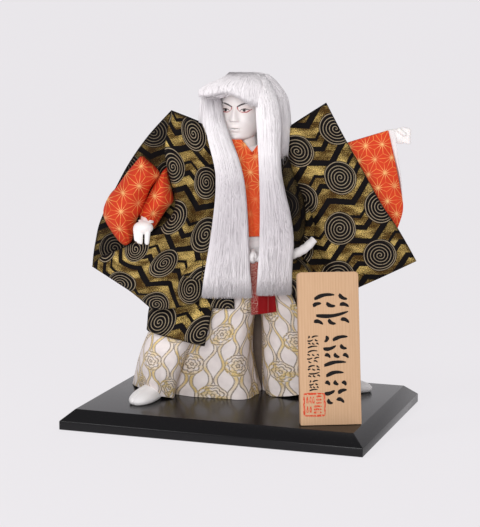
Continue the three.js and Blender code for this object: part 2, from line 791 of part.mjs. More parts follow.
place(doll, 'head', head, SHELL_WHITE);
place(doll, 'wig', wig, SILK_HAIR);
place(doll, 'right_hand', rightHand, SHELL_WHITE);
place(doll, 'left_hand', leftHand, SHELL_WHITE);
place(doll, 'right_foot', feet.right, WHITE_CLOTH);
place(doll, 'left_foot', feet.left, WHITE_CLOTH);
place(doll, 'kimono', kimono, BROCADE);
place(doll, 'under_robe', fitted(underRobe, [collar, obi]), ORANGE_CLOTH);
place(doll, 'right_under_sleeve', rightCuff, ORANGE_CLOTH);
place(doll, 'left_under_sleeve', leftCuff, ORANGE_CLOTH);
place(doll, 'collar', fitted(collar, [headRoom], 0), WHITE_CLOTH);
place(doll, 'hakama', hakama, GOLD_FIGURED_WHITE);
place(doll, 'obi', fitted(obi, [waistCord, redPanel, hakamaRoom]), WHITE_CLOTH);
place(doll, 'waist_cord', fitted(waistCord, [redPanel]), WHITE_CLOTH);
place(doll, 'red_panel', redPanel, RED_SATIN);

export default model;
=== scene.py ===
"""Looks of a kabuki doll in a lion-dance costume, on its lacquered plinth.

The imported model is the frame. Each sub-assembly is a class that models its pieces and dresses
them, and each finish is a small class that makes one material. Sizes are millimetres in the
doll's own frame: u to the right of the picture, v away from the viewer, z up. The doll stands
turned on its plinth, so a piece is turned by FACING and brought to metres as it is made.
"""

import json
import logging
import math
from dataclasses import dataclass
from enum import Enum
from typing import Callable, Optional, Sequence

import bpy
import numpy as np
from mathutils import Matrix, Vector

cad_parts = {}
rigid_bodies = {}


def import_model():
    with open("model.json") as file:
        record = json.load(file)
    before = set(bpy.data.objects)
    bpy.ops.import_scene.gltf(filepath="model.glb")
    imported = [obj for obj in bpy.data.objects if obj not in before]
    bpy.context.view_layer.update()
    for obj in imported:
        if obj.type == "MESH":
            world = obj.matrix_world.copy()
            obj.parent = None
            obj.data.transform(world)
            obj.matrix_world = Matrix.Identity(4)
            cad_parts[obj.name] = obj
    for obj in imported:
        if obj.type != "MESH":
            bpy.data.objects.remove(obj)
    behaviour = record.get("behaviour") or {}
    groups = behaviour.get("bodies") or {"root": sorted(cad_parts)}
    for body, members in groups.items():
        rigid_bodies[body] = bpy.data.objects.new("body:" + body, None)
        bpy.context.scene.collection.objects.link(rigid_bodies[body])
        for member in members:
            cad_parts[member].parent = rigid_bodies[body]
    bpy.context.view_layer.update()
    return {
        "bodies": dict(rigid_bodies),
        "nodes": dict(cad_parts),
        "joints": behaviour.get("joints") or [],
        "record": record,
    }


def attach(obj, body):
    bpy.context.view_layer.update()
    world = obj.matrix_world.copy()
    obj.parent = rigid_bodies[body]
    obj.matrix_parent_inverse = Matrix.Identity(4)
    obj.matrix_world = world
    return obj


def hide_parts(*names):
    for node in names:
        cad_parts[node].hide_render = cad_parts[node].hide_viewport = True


LOG = logging.getLogger("kabuki_doll")
MM = 0.001
PI = math.pi
TAU = 2 * math.pi
FACING = math.radians(18.81)
FLOOR = 18.9
NOTHING = 1e-9

Array = np.ndarray
Places = tuple[Array, Array, Array]
Surface = Callable[[Array, Array], Places]
Spread = Callable[[Array, Array], tuple[Array, Array]]


# Numbers and outlines


def mix(a: Array, b: Array, t: Array) -> Array:
    """Returns the value a part t of the way from a to b."""
    return a + (b - a) * t


def bump(x: Array, centre: float, spread: float) -> Array:
    """Returns a soft hill of height 1 at centre."""
    return np.exp(-(((x - centre) / spread) ** 2))


def smooth(t: Array) -> Array:
    """Returns t eased at both ends and held between 0 and 1."""
    c = np.clip(t, 0.0, 1.0)
    return c * c * (3.0 - 2.0 * c)


def power(x: Array, exponent: float) -> Array:
    """Returns x to the exponent, with negative x taken as 0."""
    return np.maximum(x, 0.0) ** exponent


def hill(t: Array, exponent: float, low: float = 0.0, high: float = 1.0) -> Array:
    """Returns a rounded hill over t from 0 to 1, cut off before its foot by low and high."""
    return power(np.sin(PI * mix(low, high, t)), exponent)


def oval(angle: Array, width: Array, depth: Array, boxy: Array = 2.0) -> tuple[Array, Array]:
    """Returns a point of an oval, squarer as boxy grows past 2."""
    cosine, sine = np.cos(angle), np.sin(angle)
    reach = (np.abs(cosine) ** boxy + np.abs(sine) ** boxy) ** (-1 / boxy)
    return cosine * reach * width, sine * reach * depth


def turned(x: Array, y: Array, angle: Array) -> tuple[Array, Array]:
    """Returns a point turned about the origin."""
    return x * np.cos(angle) - y * np.sin(angle), x * np.sin(angle) + y * np.cos(angle)


def to_world(u: Array, v: Array, z: Array) -> Array:
    """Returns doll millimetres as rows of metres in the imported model's frame."""
    x, y = turned(u, v, FACING)
    return np.stack([x, y, z + 0.0 * u], axis=-1) * MM


def through(levels: Sequence[Sequence[float]], t: Array) -> list[Array]:
    """Runs smooth curves through rows of values.

    Args:
        levels: rows of equal length, the first at t 0 and the last at t 1.
        t: where to read the curves.

    Returns:
        One array for each column.
    """
    table = np.array(levels, dtype=float)
    last = len(table) - 1
    place = np.clip(t, 0.0, 1.0) * last
    low = np.minimum(place.astype(int), last - 1)
    part = (place - low)[..., None]
    start, end = table[low], table[low + 1]
    before, after = table[np.maximum(low - 1, 0)], table[np.minimum(low + 2, last)]
    bend = (2 * before - 5 * start + 4 * end - after) * part**2
    bend += (3 * start - before - 3 * end + after) * part**3
    curve = start + 0.5 * ((end - before) * part + bend)
    return [curve[..., i] for i in range(table.shape[1])]


def between(rows: Sequence[Sequence[float]], s: Array, t: Array) -> tuple[Array, Array]:
    """Finds places between two smooth edges.

    Args:
        rows: u and z of the left edge, then of the right, bottom row first.
        s: 0 at the left edge, 1 at the right.
        t: 0 at the bottom row, 1 at the top.

    Returns:
        The u and z of each place.
    """
    left_u, left_z, right_u, right_z = through(rows, t)
    return mix(left_u, right_u, s), mix(left_z, right_z, s)


# Shader values


class Signal:
    """A shader value that adds and multiplies like a number."""

    def __init__(self, tree: bpy.types.NodeTree, socket: bpy.types.NodeSocket) -> None:
        """Wraps an output socket of a node tree."""
        self.tree, self.socket = tree, socket

    def op(self, operation: str, *others: object, clamp: bool = False) -> "Signal":
        """Adds a Math node that takes this value first.

        Args:
            operation: the Math node's operation.
            others: the values that follow, each a Signal or a number.
            clamp: whether the result is held between 0 and 1.

        Returns:
            The node's result.
        """
        node = self.tree.nodes.new("ShaderNodeMath")
        node.operation, node.use_clamp = operation, clamp
        self.tree.links.new(self.socket, node.inputs[0])
        for slot, other in enumerate(others, start=1):
            if isinstance(other, Signal):
                self.tree.links.new(other.socket, node.inputs[slot])
            else:
                node.inputs[slot].default_value = float(other)
        return Signal(self.tree, node.outputs[0])

    def __add__(self, other: object) -> "Signal":
        """Returns this plus other."""
        return self.op("ADD", other)

    def __mul__(self, other: object) -> "Signal":
        """Returns this times other."""
        return self.op("MULTIPLY", other)

    __radd__, __rmul__ = __add__, __mul__

    def __sub__(self, other: object) -> "Signal":
        """Returns this minus other."""
        return self.op("SUBTRACT", other)

    def __rsub__(self, other: float) -> "Signal":
        """Returns other minus this."""
        return self * -1.0 + other

    def __truediv__(self, other: float) -> "Signal":
        """Returns this divided by other."""
        return self * (1.0 / other)

    def nearest(self) -> "Signal":
        """Returns the nearest whole number."""
        return (self + 0.5).op("FLOOR")

    def fract(self) -> "Signal":
        """Returns what is left over after rounding down."""
        return self.op("FRACT")

    def sin(self) -> "Signal":
        """Returns the sine."""
        return self.op("SINE")

    def length(self, other: "Signal") -> "Signal":
        """Returns how far the point (this, other) is from the origin."""
        return (self * self + other * other).op("SQRT")

    def most(self, other: object) -> "Signal":
        """Returns the larger of this and other."""
        return self.op("MAXIMUM", other)

    def held(self) -> "Signal":
        """Returns this held between 0 and 1."""
        return self.op("ADD", 0.0, clamp=True)

    def within(self, half: float, edge: float) -> "Signal":
        """Returns 1 where this is nearer 0 than half, with an edge that soft."""
        return ((half - self.op("ABSOLUTE")) / edge + 0.5).held()

    def ramp(self, low: float, high: float) -> "Signal":
        """Returns 0 where this is at low, 1 at high, and straight between."""
        return ((self - low) / (high - low)).held()


class Graph:
    """Builds one material's node tree."""

    def __init__(self, name: str) -> None:
        """Starts an empty material called name."""
        self.material = bpy.data.materials.new(name)
        self.material.use_nodes = True
        self.tree = self.material.node_tree
        self.tree.nodes.clear()

    def node(self, kind: str, settings: Optional[dict] = None, **inputs: object) -> bpy.types.Node:
        """Adds a node.

        Args:
            kind: the node's type.
            settings: attributes of the node itself.
            inputs: values or links for its sockets, by name with _ for a space.

        Returns:
            The node.
        """
        made_node = self.tree.nodes.new(kind)
        for key, value in (settings or {}).items():
            setattr(made_node, key, value)
        for key, value in inputs.items():
            self.feed(made_node.inputs[key.replace("_", " ")], value)
        return made_node

    def feed(self, socket: bpy.types.NodeSocket, value: object) -> None:
        """Links or sets one input socket."""
        if isinstance(value, Signal):
            self.tree.links.new(value.socket, socket)
        elif isinstance(value, bpy.types.NodeSocket):
            self.tree.links.new(value, socket)
        elif isinstance(value, tuple) and len(value) == 3 and socket.type == "RGBA":
            socket.default_value = (*value, 1.0)
        else:
            socket.default_value = value

    def split(self, vector: bpy.types.NodeSocket) -> list[Signal]:
        """Returns a vector's three parts in millimetres."""
        parts = self.node("ShaderNodeSeparateXYZ", Vector=vector)
        return [Signal(self.tree, parts.outputs[i]) / MM for i in range(3)]

    def cloth(self) -> tuple[Signal, Signal, bpy.types.NodeSocket]:
        """Returns millimetres across and up the piece's own cloth, and both as a vector in metres."""
        uv = self.node("ShaderNodeUVMap", {"uv_map": "cloth"}).outputs["UV"]
        across, up, _ = self.split(uv)
        return across, up, uv

    def place(self) -> bpy.types.NodeSocket:
        """Returns object coordinates, in metres."""
        return self.node("ShaderNodeTexCoord").outputs["Object"]

    def attribute(self, name: str) -> Signal:
        """Returns a value stored on the mesh."""
        node = self.node("ShaderNodeAttribute", {"attribute_name": name})
        return Signal(self.tree, node.outputs["Fac"])

    def stretched(self, vector: bpy.types.NodeSocket, *scale: float) -> bpy.types.NodeSocket:
        """Returns a vector scaled by three factors."""
        return self.node("ShaderNodeMapping", Vector=vector, Scale=scale).outputs["Vector"]

    def noise(self, vector: object, scale: float, detail: float = 2.0, rough: float = 0.5) -> Signal:
        """Returns soft noise between 0 and 1."""
        node = self.node("ShaderNodeTexNoise", Vector=vector, Scale=scale, Detail=detail, Roughness=rough)
        return Signal(self.tree, node.outputs["Fac"])

    def tint(self, factor: object, a: object, b: object) -> bpy.types.NodeSocket:
        """Returns colour a turning into colour b as factor goes from 0 to 1."""
        node = self.node("ShaderNodeMix", {"data_type": "RGBA"})
        for slot, value in ((0, factor), (6, a), (7, b)):
            self.feed(node.inputs[slot], value)
        return node.outputs[2]

    def relief(self, height: Signal, distance: float, strength: float = 1.0) -> bpy.types.NodeSocket:
        """Returns a normal bent by a height field, distance in metres."""
        node = self.node("ShaderNodeBump", Strength=strength, Distance=distance, Height=height)
        return node.outputs["Normal"]

    def weave(self, across: Signal, up: Signal, thread: float) -> Signal:
        """Returns the height of a plain weave whose threads lie that many millimetres apart."""
        return ((across * (PI / thread)).sin() * (up * (PI / thread)).sin()).op("ABSOLUTE")

    def finish(self, **inputs: object) -> bpy.types.Material:
        """Joins a Principled shader, its sockets fed by name with _ for a space, to the output."""
        shader = self.node("ShaderNodeBsdfPrincipled", None, **inputs)
        output = self.node("ShaderNodeOutputMaterial")
        self.tree.links.new(shader.outputs[0], output.inputs["Surface"])
        return self.material


# Finishes


@dataclass(frozen=True)
class Lacquer:
    """Black lacquered board with a satin shine and faint dust."""

    tone: tuple = (0.0045, 0.0042, 0.0052)
    dust: tuple = (0.06, 0.058, 0.062)
    roughness: float = 0.19

    def make(self) -> bpy.types.Material:
        """Returns the material."""
        g = Graph("black_lacquer")
        grain = g.noise(g.stretched(g.place(), 2.0, 30.0, 30.0), 12.0, 3.0)
        speck = g.noise(g.place(), 900.0).ramp(0.70, 0.78)
        cloud = g.noise(g.place(), 18.0, 3.0)
        return g.finish(
            Base_Color=g.tint(speck * 0.25, self.tone, self.dust),
            Roughness=self.roughness + cloud * 0.08 + speck * 0.2,
            Normal=g.relief(grain, 0.00005, 0.25),
            Specular_IOR_Level=0.30,
        )


@dataclass(frozen=True)
class BoardWood:
    """Plain light softwood with straight grain up the board."""

    pale: tuple = (0.61, 0.39, 0.235)
    deep: tuple = (0.50, 0.29, 0.155)
    line_width: float = 2.6

    def make(self) -> bpy.types.Material:
        """Returns the material."""
        g = Graph("board_wood")
        across, _, uv = g.cloth()
        wander = (g.noise(g.stretched(uv, 1.0, 0.05, 1.0), 160.0) - 0.5) * 3.4
        wide = (g.noise(g.stretched(uv, 1.0, 0.02, 1.0), 45.0, 1.0) - 0.5) * 6.0
        late = (((across + wander + wide) / self.line_width).fract() - 0.5).op("ABSOLUTE") * 2.0
        fibre = g.noise(g.stretched(uv, 1.0, 0.03, 1.0), 1400.0, 3.0, 0.6)
        tone = late.ramp(0.3, 1.0) * 0.30 + fibre.ramp(0.35, 0.75) * 0.42
        return g.finish(
            Base_Color=g.tint(tone, self.pale, self.deep),
            Roughness=0.55 + fibre * 0.2,
            Normal=g.relief(fibre * 0.6 + late * 0.4, 0.00012, 0.5),
            Specular_IOR_Level=0.3,
        )


@dataclass(frozen=True)
class Ink:
    """Brush ink or stamped red on wood, thinner where the wood's grain shows through."""

    name: str = "brush_ink"
    tone: tuple = (0.012, 0.010, 0.010)
    worn: tuple = (0.06, 0.045, 0.035)
    cover: float = 0.66

    def make(self) -> bpy.types.Material:
        """Returns the material."""
        g = Graph(self.name)
        streak = g.noise(g.stretched(g.place(), 1.0, 1.0, 0.12), 1500.0)
        thin = streak.ramp(self.cover, self.cover + 0.12)
        color = g.tint(thin, self.tone, self.worn)
        return g.finish(Base_Color=color, Roughness=0.6 + thin * 0.2, Specular_IOR_Level=0.08)


@dataclass(frozen=True)
class ShellWhite:
    """White shell-lime coat, with painted brows, eye rims, eyes and lips on the face."""

    name: str
    tone: tuple = (0.87, 0.815, 0.80)
    blush: tuple = (0.82, 0.50, 0.43)
    red: tuple = (0.42, 0.012, 0.02)
    black: tuple = (0.012, 0.006, 0.008)
    painted: bool = False

    def make(self) -> bpy.types.Material:
        """Returns the material."""
        g = Graph(self.name)
        soft = g.noise(g.place(), 90.0, 3.0)
        grain = g.noise(g.place(), 2600.0)
        color = g.tint(soft.ramp(0.35, 0.7) * 0.35, self.tone, tuple(0.94 * c for c in self.tone))
        if self.painted:
            for mask, paint in (("blush", self.blush), ("red_line", self.red), ("dark_line", self.black)):
                color = g.tint(g.attribute(mask), color, paint)
        return g.finish(
            Base_Color=color,
            Roughness=0.42 + soft * 0.12,
            Normal=g.relief(grain, 0.00002, 0.35),
            Subsurface_Weight=0.06,
            Subsurface_Radius=(0.003, 0.002, 0.0015),
            Subsurface_Scale=1.0,
        )


@dataclass(frozen=True)
class SilkHair:
    """White silk threads, each a little different, with painted shade greying the middle of the front locks.
    """

    name: str
    bright: tuple = (0.94, 0.905, 0.92)
    shade: tuple = (0.46, 0.415, 0.45)
    threads: bool = False
    painted_shade_top: tuple = (262.0, 232.0)
    painted_shade_foot: tuple = (128.0, 190.0)

    def make(self) -> bpy.types.Material:
        """Returns the material, for single threads or for the locks under them."""
        g = Graph(self.name)
        height = g.split(g.place())[2]
        # Painted shade by height: darker between the two ramps, lighter above and below, for how light falls
        # on the locks
        low = height.ramp(*self.painted_shade_top) * height.ramp(*self.painted_shade_foot)
        if self.threads:
            streak, relief = g.attribute("tone"), {}
        else:
            uv = g.cloth()[2]
            streak = g.noise(g.stretched(uv, 1.0, 0.012, 1.0), 1500.0, 3.0, 0.7).ramp(0.38, 0.66)
            relief = {"Normal": g.relief(streak, 0.0002, 0.6)}
        patch = g.noise(g.stretched(g.place(), 1.0, 1.0, 0.25), 140.0)
        tone = streak * 0.24 + patch.ramp(0.4, 0.75) * 0.08 + low * 0.40
        return g.finish(
            Base_Color=g.tint(tone.held(), self.bright, self.shade),
            Roughness=0.34 + patch * 0.18,
            Specular_IOR_Level=0.5,
            **relief,
        )


@dataclass(frozen=True)
class WhiteCloth:
    """Fine white cloth with a close plain weave."""

    name: str
    tone: tuple = (0.86, 0.82, 0.815)
    shade: tuple = (0.74, 0.69, 0.69)
    thread: float = 0.45

    def make(self) -> bpy.types.Material:
        """Returns the material."""
        g = Graph(self.name)
        across, up, uv = g.cloth()
        weave = g.weave(across, up, self.thread)
        soft = g.noise(uv, 120.0, 3.0)
        return g.finish(
            Base_Color=g.tint(soft.ramp(0.35, 0.75) * 0.5, self.tone, self.shade),
            Roughness=0.78 + weave * 0.12,
            Normal=g.relief(weave, 0.0001, 0.5),
            Sheen_Weight=0.15,
            Sheen_Roughness=0.5,
        )


RUN, CLIMB, ROW = 41.0, 24.0, 50.0


@dataclass(frozen=True)
class Brocade:
    """Black brocade woven with gold: stepped bands on a gold field and dark discs with spirals.

    The bands climb by a stair that repeats every RUN across and CLIMB up, one band after another
    along (slip, -drop). The discs sit on a lattice of (RUN, CLIMB) and (0, -ROW).
    """

    name: str
    lean: float = 1.0
    # Below 1 the whole brocade is a darker copy of itself: painted shade for shaded places
    painted_dimming: float = 1.0
    tread: float = 26.0
    slip: float = 20.5
    drop: float = 38.0
    band_offset: tuple = (-33.7, 14.5)
    bands: tuple = ((0.0, 3.0), (0.63, 2.6), (0.365, 1.5))
    radius: float = 17.0
    pitch: float = 3.15
    black: tuple = (0.0045, 0.0034, 0.0040)
    gold: tuple = (0.105, 0.052, 0.010)
    pale_gold: tuple = (0.98, 0.71, 0.23)
    thread_gold: tuple = (0.49, 0.395, 0.265)

    def make(self) -> bpy.types.Material:
        """Returns the material."""
        g = Graph(self.name)
        across, up, uv = g.cloth()
        bend = (g.noise(uv, 55.0, 1.0) - 0.5) * 1.6
        x, y = across * self.lean + bend, up + bend
        band = self._bands(x, y)
        disc, ring = self._discs(x, y)
        weave = g.weave(across, up, 0.5)
        speckle = g.noise(uv, 1500.0, 2.0, 0.6)
        # A soft noise turns the gold pale in places: painted sheen on the metal thread, roughened by the
        # threads' own speckle
        light = g.noise(g.stretched(uv, 1.0, 2.2, 1.0), 38.0) + (speckle - 0.5) * 1.1
        gold = g.tint(light.ramp(0.46, 0.75), self.gold, self.pale_gold)
        # The gold shows less at a piece's dark hem, and less again by the dimming factor, which is painted
        # shade
        shown = (1.0 - g.attribute("hem")) * self.painted_dimming
        field = (1.0 - band) * (1.0 - disc) * speckle.ramp(0.37, 0.56) * shown
        ring = ring * speckle.ramp(0.30, 0.48) * shown
        metal = field.most(ring * 0.7)
        color = g.tint(field, g.tint(ring, self.black, self.thread_gold), gold)
        return g.finish(
            Base_Color=color,
            Metallic=metal * 0.6,
            Roughness=0.66 - metal * 0.24 + speckle * 0.1,
            Normal=g.relief(metal * 0.6 + weave * 0.4 + speckle * 0.3, 0.00024, 0.7),
            Specular_IOR_Level=0.09,
        )

    def _bands(self, x: Signal, y: Signal) -> Signal:
        """Returns 1 on the black stepped bands."""
        bx, by = x - self.band_offset[0], y - self.band_offset[1]
        step = self.drop * RUN + self.slip * CLIMB
        q = bx * (self.drop / step) + by * (self.slip / step)
        level = self.drop * self.tread / step
        stair = (q.op("FLOOR") + q.fract().ramp(level, 1.0)) * CLIMB
        phase, mask = (stair - by) / self.drop, None
        for at, half in self.bands:
            line = (((phase - (at - 0.5)).fract() - 0.5) * self.drop).within(half, 0.45)
            mask = line if mask is None else mask.most(line)
        return mask

    def _discs(self, x: Signal, y: Signal) -> tuple[Signal, Signal]:
        """Returns the discs' mask and the mask of their ring and spiral lines."""
        column = (x / RUN).nearest()
        dx, shifted = x - column * RUN, y - column * CLIMB
        dy = shifted - (shifted / ROW).nearest() * ROW
        distance = dx.length(dy)
        turn = dy.op("ARCTAN2", dx) / TAU
        phase = (distance / self.pitch - turn).fract() - 0.5
        spiral = (phase * self.pitch).within(0.28, 0.45) * distance.within(self.radius - 2.6, 0.4)
        rim = (distance - (self.radius - 1.1)).within(0.30, 0.5)
        return distance.within(self.radius, 0.5), spiral.most(rim)


@dataclass(frozen=True)
class OrangeStars:
    """Orange crepe with gold threads in a lattice of twelve-rayed stars, faint below a height, fade."""

    name: str
    side: float = 17.5
    turn: float = 0.0
    base: tuple = (0.71, 0.052, 0.011)
    deep: tuple = (0.50, 0.022, 0.007)
    fade: float = -1000.0
    line: tuple = (0.90, 0.37, 0.07)
    glint: tuple = (1.0, 0.78, 0.30)

    def make(self) -> bpy.types.Material:
        """Returns the material."""
        g = Graph(self.name)
        across, up, uv = g.cloth()
        stars, near = self._lattice(across, up)
        crepe = g.noise(uv, 1300.0, 3.0, 0.6)
        cloud = g.noise(uv, 60.0)
        patchy = g.noise(uv, 140.0, 1.0).ramp(0.30, 0.55)
        base = g.tint(crepe.ramp(0.35, 0.7) * 0.35 + cloud.ramp(0.4, 0.8) * 0.3, self.base, self.deep)
        shown = 0.35 + up.ramp(self.fade, self.fade + 6.0) * 0.65
        mask = stars * (0.26 + patchy * 0.62) * crepe.ramp(0.32, 0.48) * shown
        return g.finish(
            Base_Color=g.tint(mask, base, g.tint(near, self.line, self.glint)),
            Metallic=mask * 0.25,
            Roughness=0.75 - mask * 0.25,
            Normal=g.relief(crepe + mask * 0.6, 0.00016, 0.6),
            Specular_IOR_Level=0.3,
        )

    def _lattice(self, across: Signal, up: Signal) -> tuple[Signal, Signal]:
        """Returns the lines' mask and how near a star's middle each place is."""
        tall, wide = self.side * math.sqrt(0.75), self.side * math.sqrt(3.0)
        lines = near = None
        for k in range(3):
            c, s = math.cos(self.turn + k * PI / 3), math.sin(self.turn + k * PI / 3)
            along, beside = across * c + up * s, up * c - across * s
            edge = beside - (beside / tall).nearest() * tall
            ray_row = (along / (self.side / 2)).nearest()
            ray = along - ray_row * (self.side / 2)
            reach = ((beside / wide + ray_row * 0.5 + 0.5).fract() - 0.5) * wide
            drawn = edge.within(0.24, 0.45).most(ray.within(0.24, 0.45) * reach.within(wide / 3, 0.3))
            glow = (1.0 - reach.length(ray) / (0.42 * self.side)).held()
            lines = drawn if lines is None else lines.most(drawn)
            near = glow if near is None else near.most(glow)
        return lines, near


@dataclass(frozen=True)
class FiguredWhite:
    """White satin with gold wavy ribbons and round flower medallions."""

    name: str = "figured_white"
    base: tuple = (0.88, 0.80, 0.775)
    shade: tuple = (0.74, 0.665, 0.65)
    gold: tuple = (0.78, 0.57, 0.20)
    dull: tuple = (0.17, 0.12, 0.075)
    lane: float = 10.0
    swing: float = 3.1
    row: float = 33.0
    flower: float = 12.0
    petal_rows: tuple = ((0.95, 8, 1.1, 0.0), (0.68, 7, 1.6, 0.6), (0.42, 6, 1.4, 1.3), (0.18, 5, 0.7, 0.2))

    def make(self) -> bpy.types.Material:
        """Returns the material."""
        g = Graph(self.name)
        across, up, uv = g.cloth()
        weave = g.weave(across, up, 0.42)
        bend = (g.noise(uv, 70.0, 1.0) - 0.5) * 3.0
        x, y = across + bend, up + bend
        fray = g.noise(uv, 1100.0, 2.0, 0.6)
        inside, petals, heart = self._flowers(g, x, y, uv)
        fill, edges = self._ribbons(x, y)
        patch = g.noise(uv, 45.0, 1.0).ramp(0.40, 0.56)
        ribbon = fill * (0.30 + patch * 0.7) * (1.0 - inside)
        gold = ribbon.most(heart * (0.35 + patch * 0.65)) * fray.ramp(0.30, 0.44)
        dull = (edges * (1.0 - inside)).most(petals) * fray.ramp(0.32, 0.46) * (1.0 - patch * 0.25)
        base = g.tint(g.noise(uv, 90.0).ramp(0.35, 0.75), self.base, self.shade)
        color = g.tint(dull * 0.85, g.tint(gold * 0.9, base, self.gold), self.dull)
        figure = gold.most(dull)
        return g.finish(
            Base_Color=color,
            Metallic=figure * 0.3,
            Roughness=0.60 - figure * 0.16 + weave * 0.08,
            Normal=g.relief(weave * 0.4 + figure * 0.8 + fray * 0.2, 0.00020, 0.6),
            Specular_IOR_Level=0.35,
        )

    def _ribbons(self, x: Signal, y: Signal) -> tuple[Signal, Signal]:
        """Returns the masks of the wavy ribbons' middles and of their edges."""
        lane = (x / self.lane).nearest()
        side = (lane / 2.0).fract() * 4.0 - 1.0
        swing = (y * (TAU / self.row) + PI / 2).sin() * self.swing
        away = x - lane * self.lane + side * swing
        return away.within(1.3, 0.4), (away.op("ABSOLUTE") - 1.6).within(0.55, 0.45)

    def _flowers(self, g: Graph, x: Signal, y: Signal, uv: object) -> tuple[Signal, Signal, Signal]:
        """Returns the masks of the medallions, their petal lines and their gold hearts."""
        step = 4.0 * self.lane
        line = (y / self.row).nearest()
        bx = x + self.lane * 0.5 + (line / 2.0).fract() * step
        dx, dy = bx - (bx / step).nearest() * step, y - line * self.row
        ripple = (g.noise(uv, 300.0, 1.0) - 0.5) * 2.0
        distance, turn = dx.length(dy), dy.op("ARCTAN2", dx)
        inside, petals = distance.within(self.flower, 0.4), None
        for reach, count, lobe, twist in self.petal_rows:
            scallop = (turn * (count / 2.0) + twist).sin().op("ABSOLUTE") * lobe
            outline = (distance - self.flower * reach + 1.0 - scallop + ripple * 0.5).within(0.62, 0.4)
            petals = outline if petals is None else petals.most(outline)
        veins = (turn * 9.0 + distance * 0.5).sin().within(0.2, 0.12) * ripple.ramp(-0.1, 0.35)
        heart = g.noise(uv, 200.0, 2.0).ramp(0.38, 0.50)
        return inside, petals.most(veins * 0.8) * inside, heart * inside


@dataclass(frozen=True)
class RedSatin:
    """Red satin with a flecked strip down its left edge and a faint seam."""

    name: str = "red_satin"
    tone: tuple = (0.26, 0.0015, 0.003)
    deep: tuple = (0.18, 0.001, 0.003)
    fleck: tuple = (0.55, 0.34, 0.28)
    strip: tuple = (13.0, 160.0)
    seam: float = 23.0

    def make(self) -> bpy.types.Material:
        """Returns the material."""
        g = Graph(self.name)
        across, up, uv = g.cloth()
        weave = g.weave(across, up, 0.35)
        strip = across.ramp(self.strip[0] + 0.6, self.strip[0]) * up.ramp(self.strip[1] + 2.0, self.strip[1])
        flecks = strip * (g.noise(uv, 900.0, 2.0, 0.6) + up.ramp(112.0, 150.0) * 0.05).ramp(0.51, 0.60)
        seam = (across - self.seam).within(0.3, 0.5) * 0.25
        cloud = g.noise(g.stretched(uv, 1.0, 0.3, 1.0), 130.0)
        color = g.tint(cloud.ramp(0.40, 0.80) * 0.8, self.tone, self.deep)
        return g.finish(
            Base_Color=g.tint(flecks.most(seam) * 0.8, color, self.fleck),
            Metallic=flecks * 0.3,
            Roughness=0.45 + weave * 0.15,
            Normal=g.relief(weave, 0.00008, 0.4),
            Specular_IOR_Level=0.12,
        )


# Modelling


class Slot(Enum):
    """The record's material slots."""

    LACQUER = "lacquer"
    BOARD_WOOD = "board_wood"
    SHELL_WHITE = "shell_white"
    SILK_HAIR = "silk_hair"
    WHITE_CLOTH = "white_cloth"
    BROCADE = "brocade"
    ORANGE_CLOTH = "orange_cloth"
    FIGURED_WHITE = "figured_white"
    RED_SATIN = "red_satin"


def only(*items: bpy.types.Object) -> None:
    """Selects nothing but the given objects and makes the first one active."""
    for item in list(bpy.context.selected_objects):
        item.select_set(False)
    for item in items:
        item.select_set(True)
        bpy.context.view_layer.objects.active = items[0]


def made(name: str) -> bpy.types.Object:
    """Names the primitive that was just added, with its place in its mesh."""
    item = bpy.context.active_object
    item.name = item.data.name = name
    bpy.ops.object.transform_apply(location=True, rotation=True, scale=True)
    return item


def applied(item: bpy.types.Object, kind: str, **settings: object) -> bpy.types.Object:
    """Adds a modifier with its settings, applies it and returns the piece."""
    only(item)
    modifier = item.modifiers.new(kind.title(), kind)
    for key, value in settings.items():
        setattr(modifier, key, value)
    bpy.ops.object.modifier_apply(modifier=modifier.name)
    return item


def block(name: str) -> bpy.types.Object:
    """Adds a cube one unit wide."""
    only()
    bpy.ops.mesh.primitive_cube_add(size=1.0)
    return made(name)


def flat_grid(name: str, columns: int, rows: int) -> bpy.types.Object:
    """Adds a flat grid from -1 to 1 both ways."""
    only()
    bpy.ops.mesh.primitive_grid_add(x_subdivisions=columns, y_subdivisions=rows, size=2.0)
    return made(name)


def thickened(item: bpy.types.Object, thick: float, offset: float = -1.0) -> bpy.types.Object:
    """Gives an open surface a thickness in millimetres, inwards unless offset says otherwise."""
    return applied(item, "SOLIDIFY", thickness=thick * MM, offset=offset)


def softened(item: bpy.types.Object, width: float, segments: int, angle: float) -> bpy.types.Object:
    """Rounds the edges that are sharper than an angle in radians, width in the mesh's own units."""
    return applied(item, "BEVEL", width=width, segments=segments, limit_method="ANGLE", angle_limit=angle)


def picked(item: bpy.types.Object, kind: str, wanted: Callable[[object], bool]) -> None:
    """Opens a piece for editing with only its wanted faces or edges selected."""
    bpy.ops.object.mode_set(mode="EDIT")
    bpy.ops.mesh.select_mode(type=kind)
    bpy.ops.mesh.select_all(action="DESELECT")
    bpy.ops.object.mode_set(mode="OBJECT")
    for element in item.data.polygons if kind == "FACE" else item.data.edges:
        element.select = wanted(element)
    bpy.ops.object.mode_set(mode="EDIT")


def places_of(item: bpy.types.Object) -> Array:
    """Returns a mesh's vertices as rows."""
    flat = np.empty(len(item.data.vertices) * 3, dtype=np.float64)
    item.data.vertices.foreach_get("co", flat)
    return flat.reshape(-1, 3)


def put_places(item: bpy.types.Object, places: Array) -> None:
    """Moves a mesh's vertices."""
    item.data.vertices.foreach_set("co", np.ascontiguousarray(places, dtype=np.float32).ravel())
    item.data.update()


def write_cloth(item: bpy.types.Object, pairs: Array) -> None:
    """Writes the cloth coordinates, one pair in millimetres for each vertex."""
    layer = item.data.uv_layers.get("cloth") or item.data.uv_layers.new(name="cloth")
    corners = np.empty(len(item.data.loops), dtype=np.int32)
    item.data.loops.foreach_get("vertex_index", corners)
    layer.data.foreach_set("uv", np.ascontiguousarray(pairs[corners] * MM, dtype=np.float32).ravel())


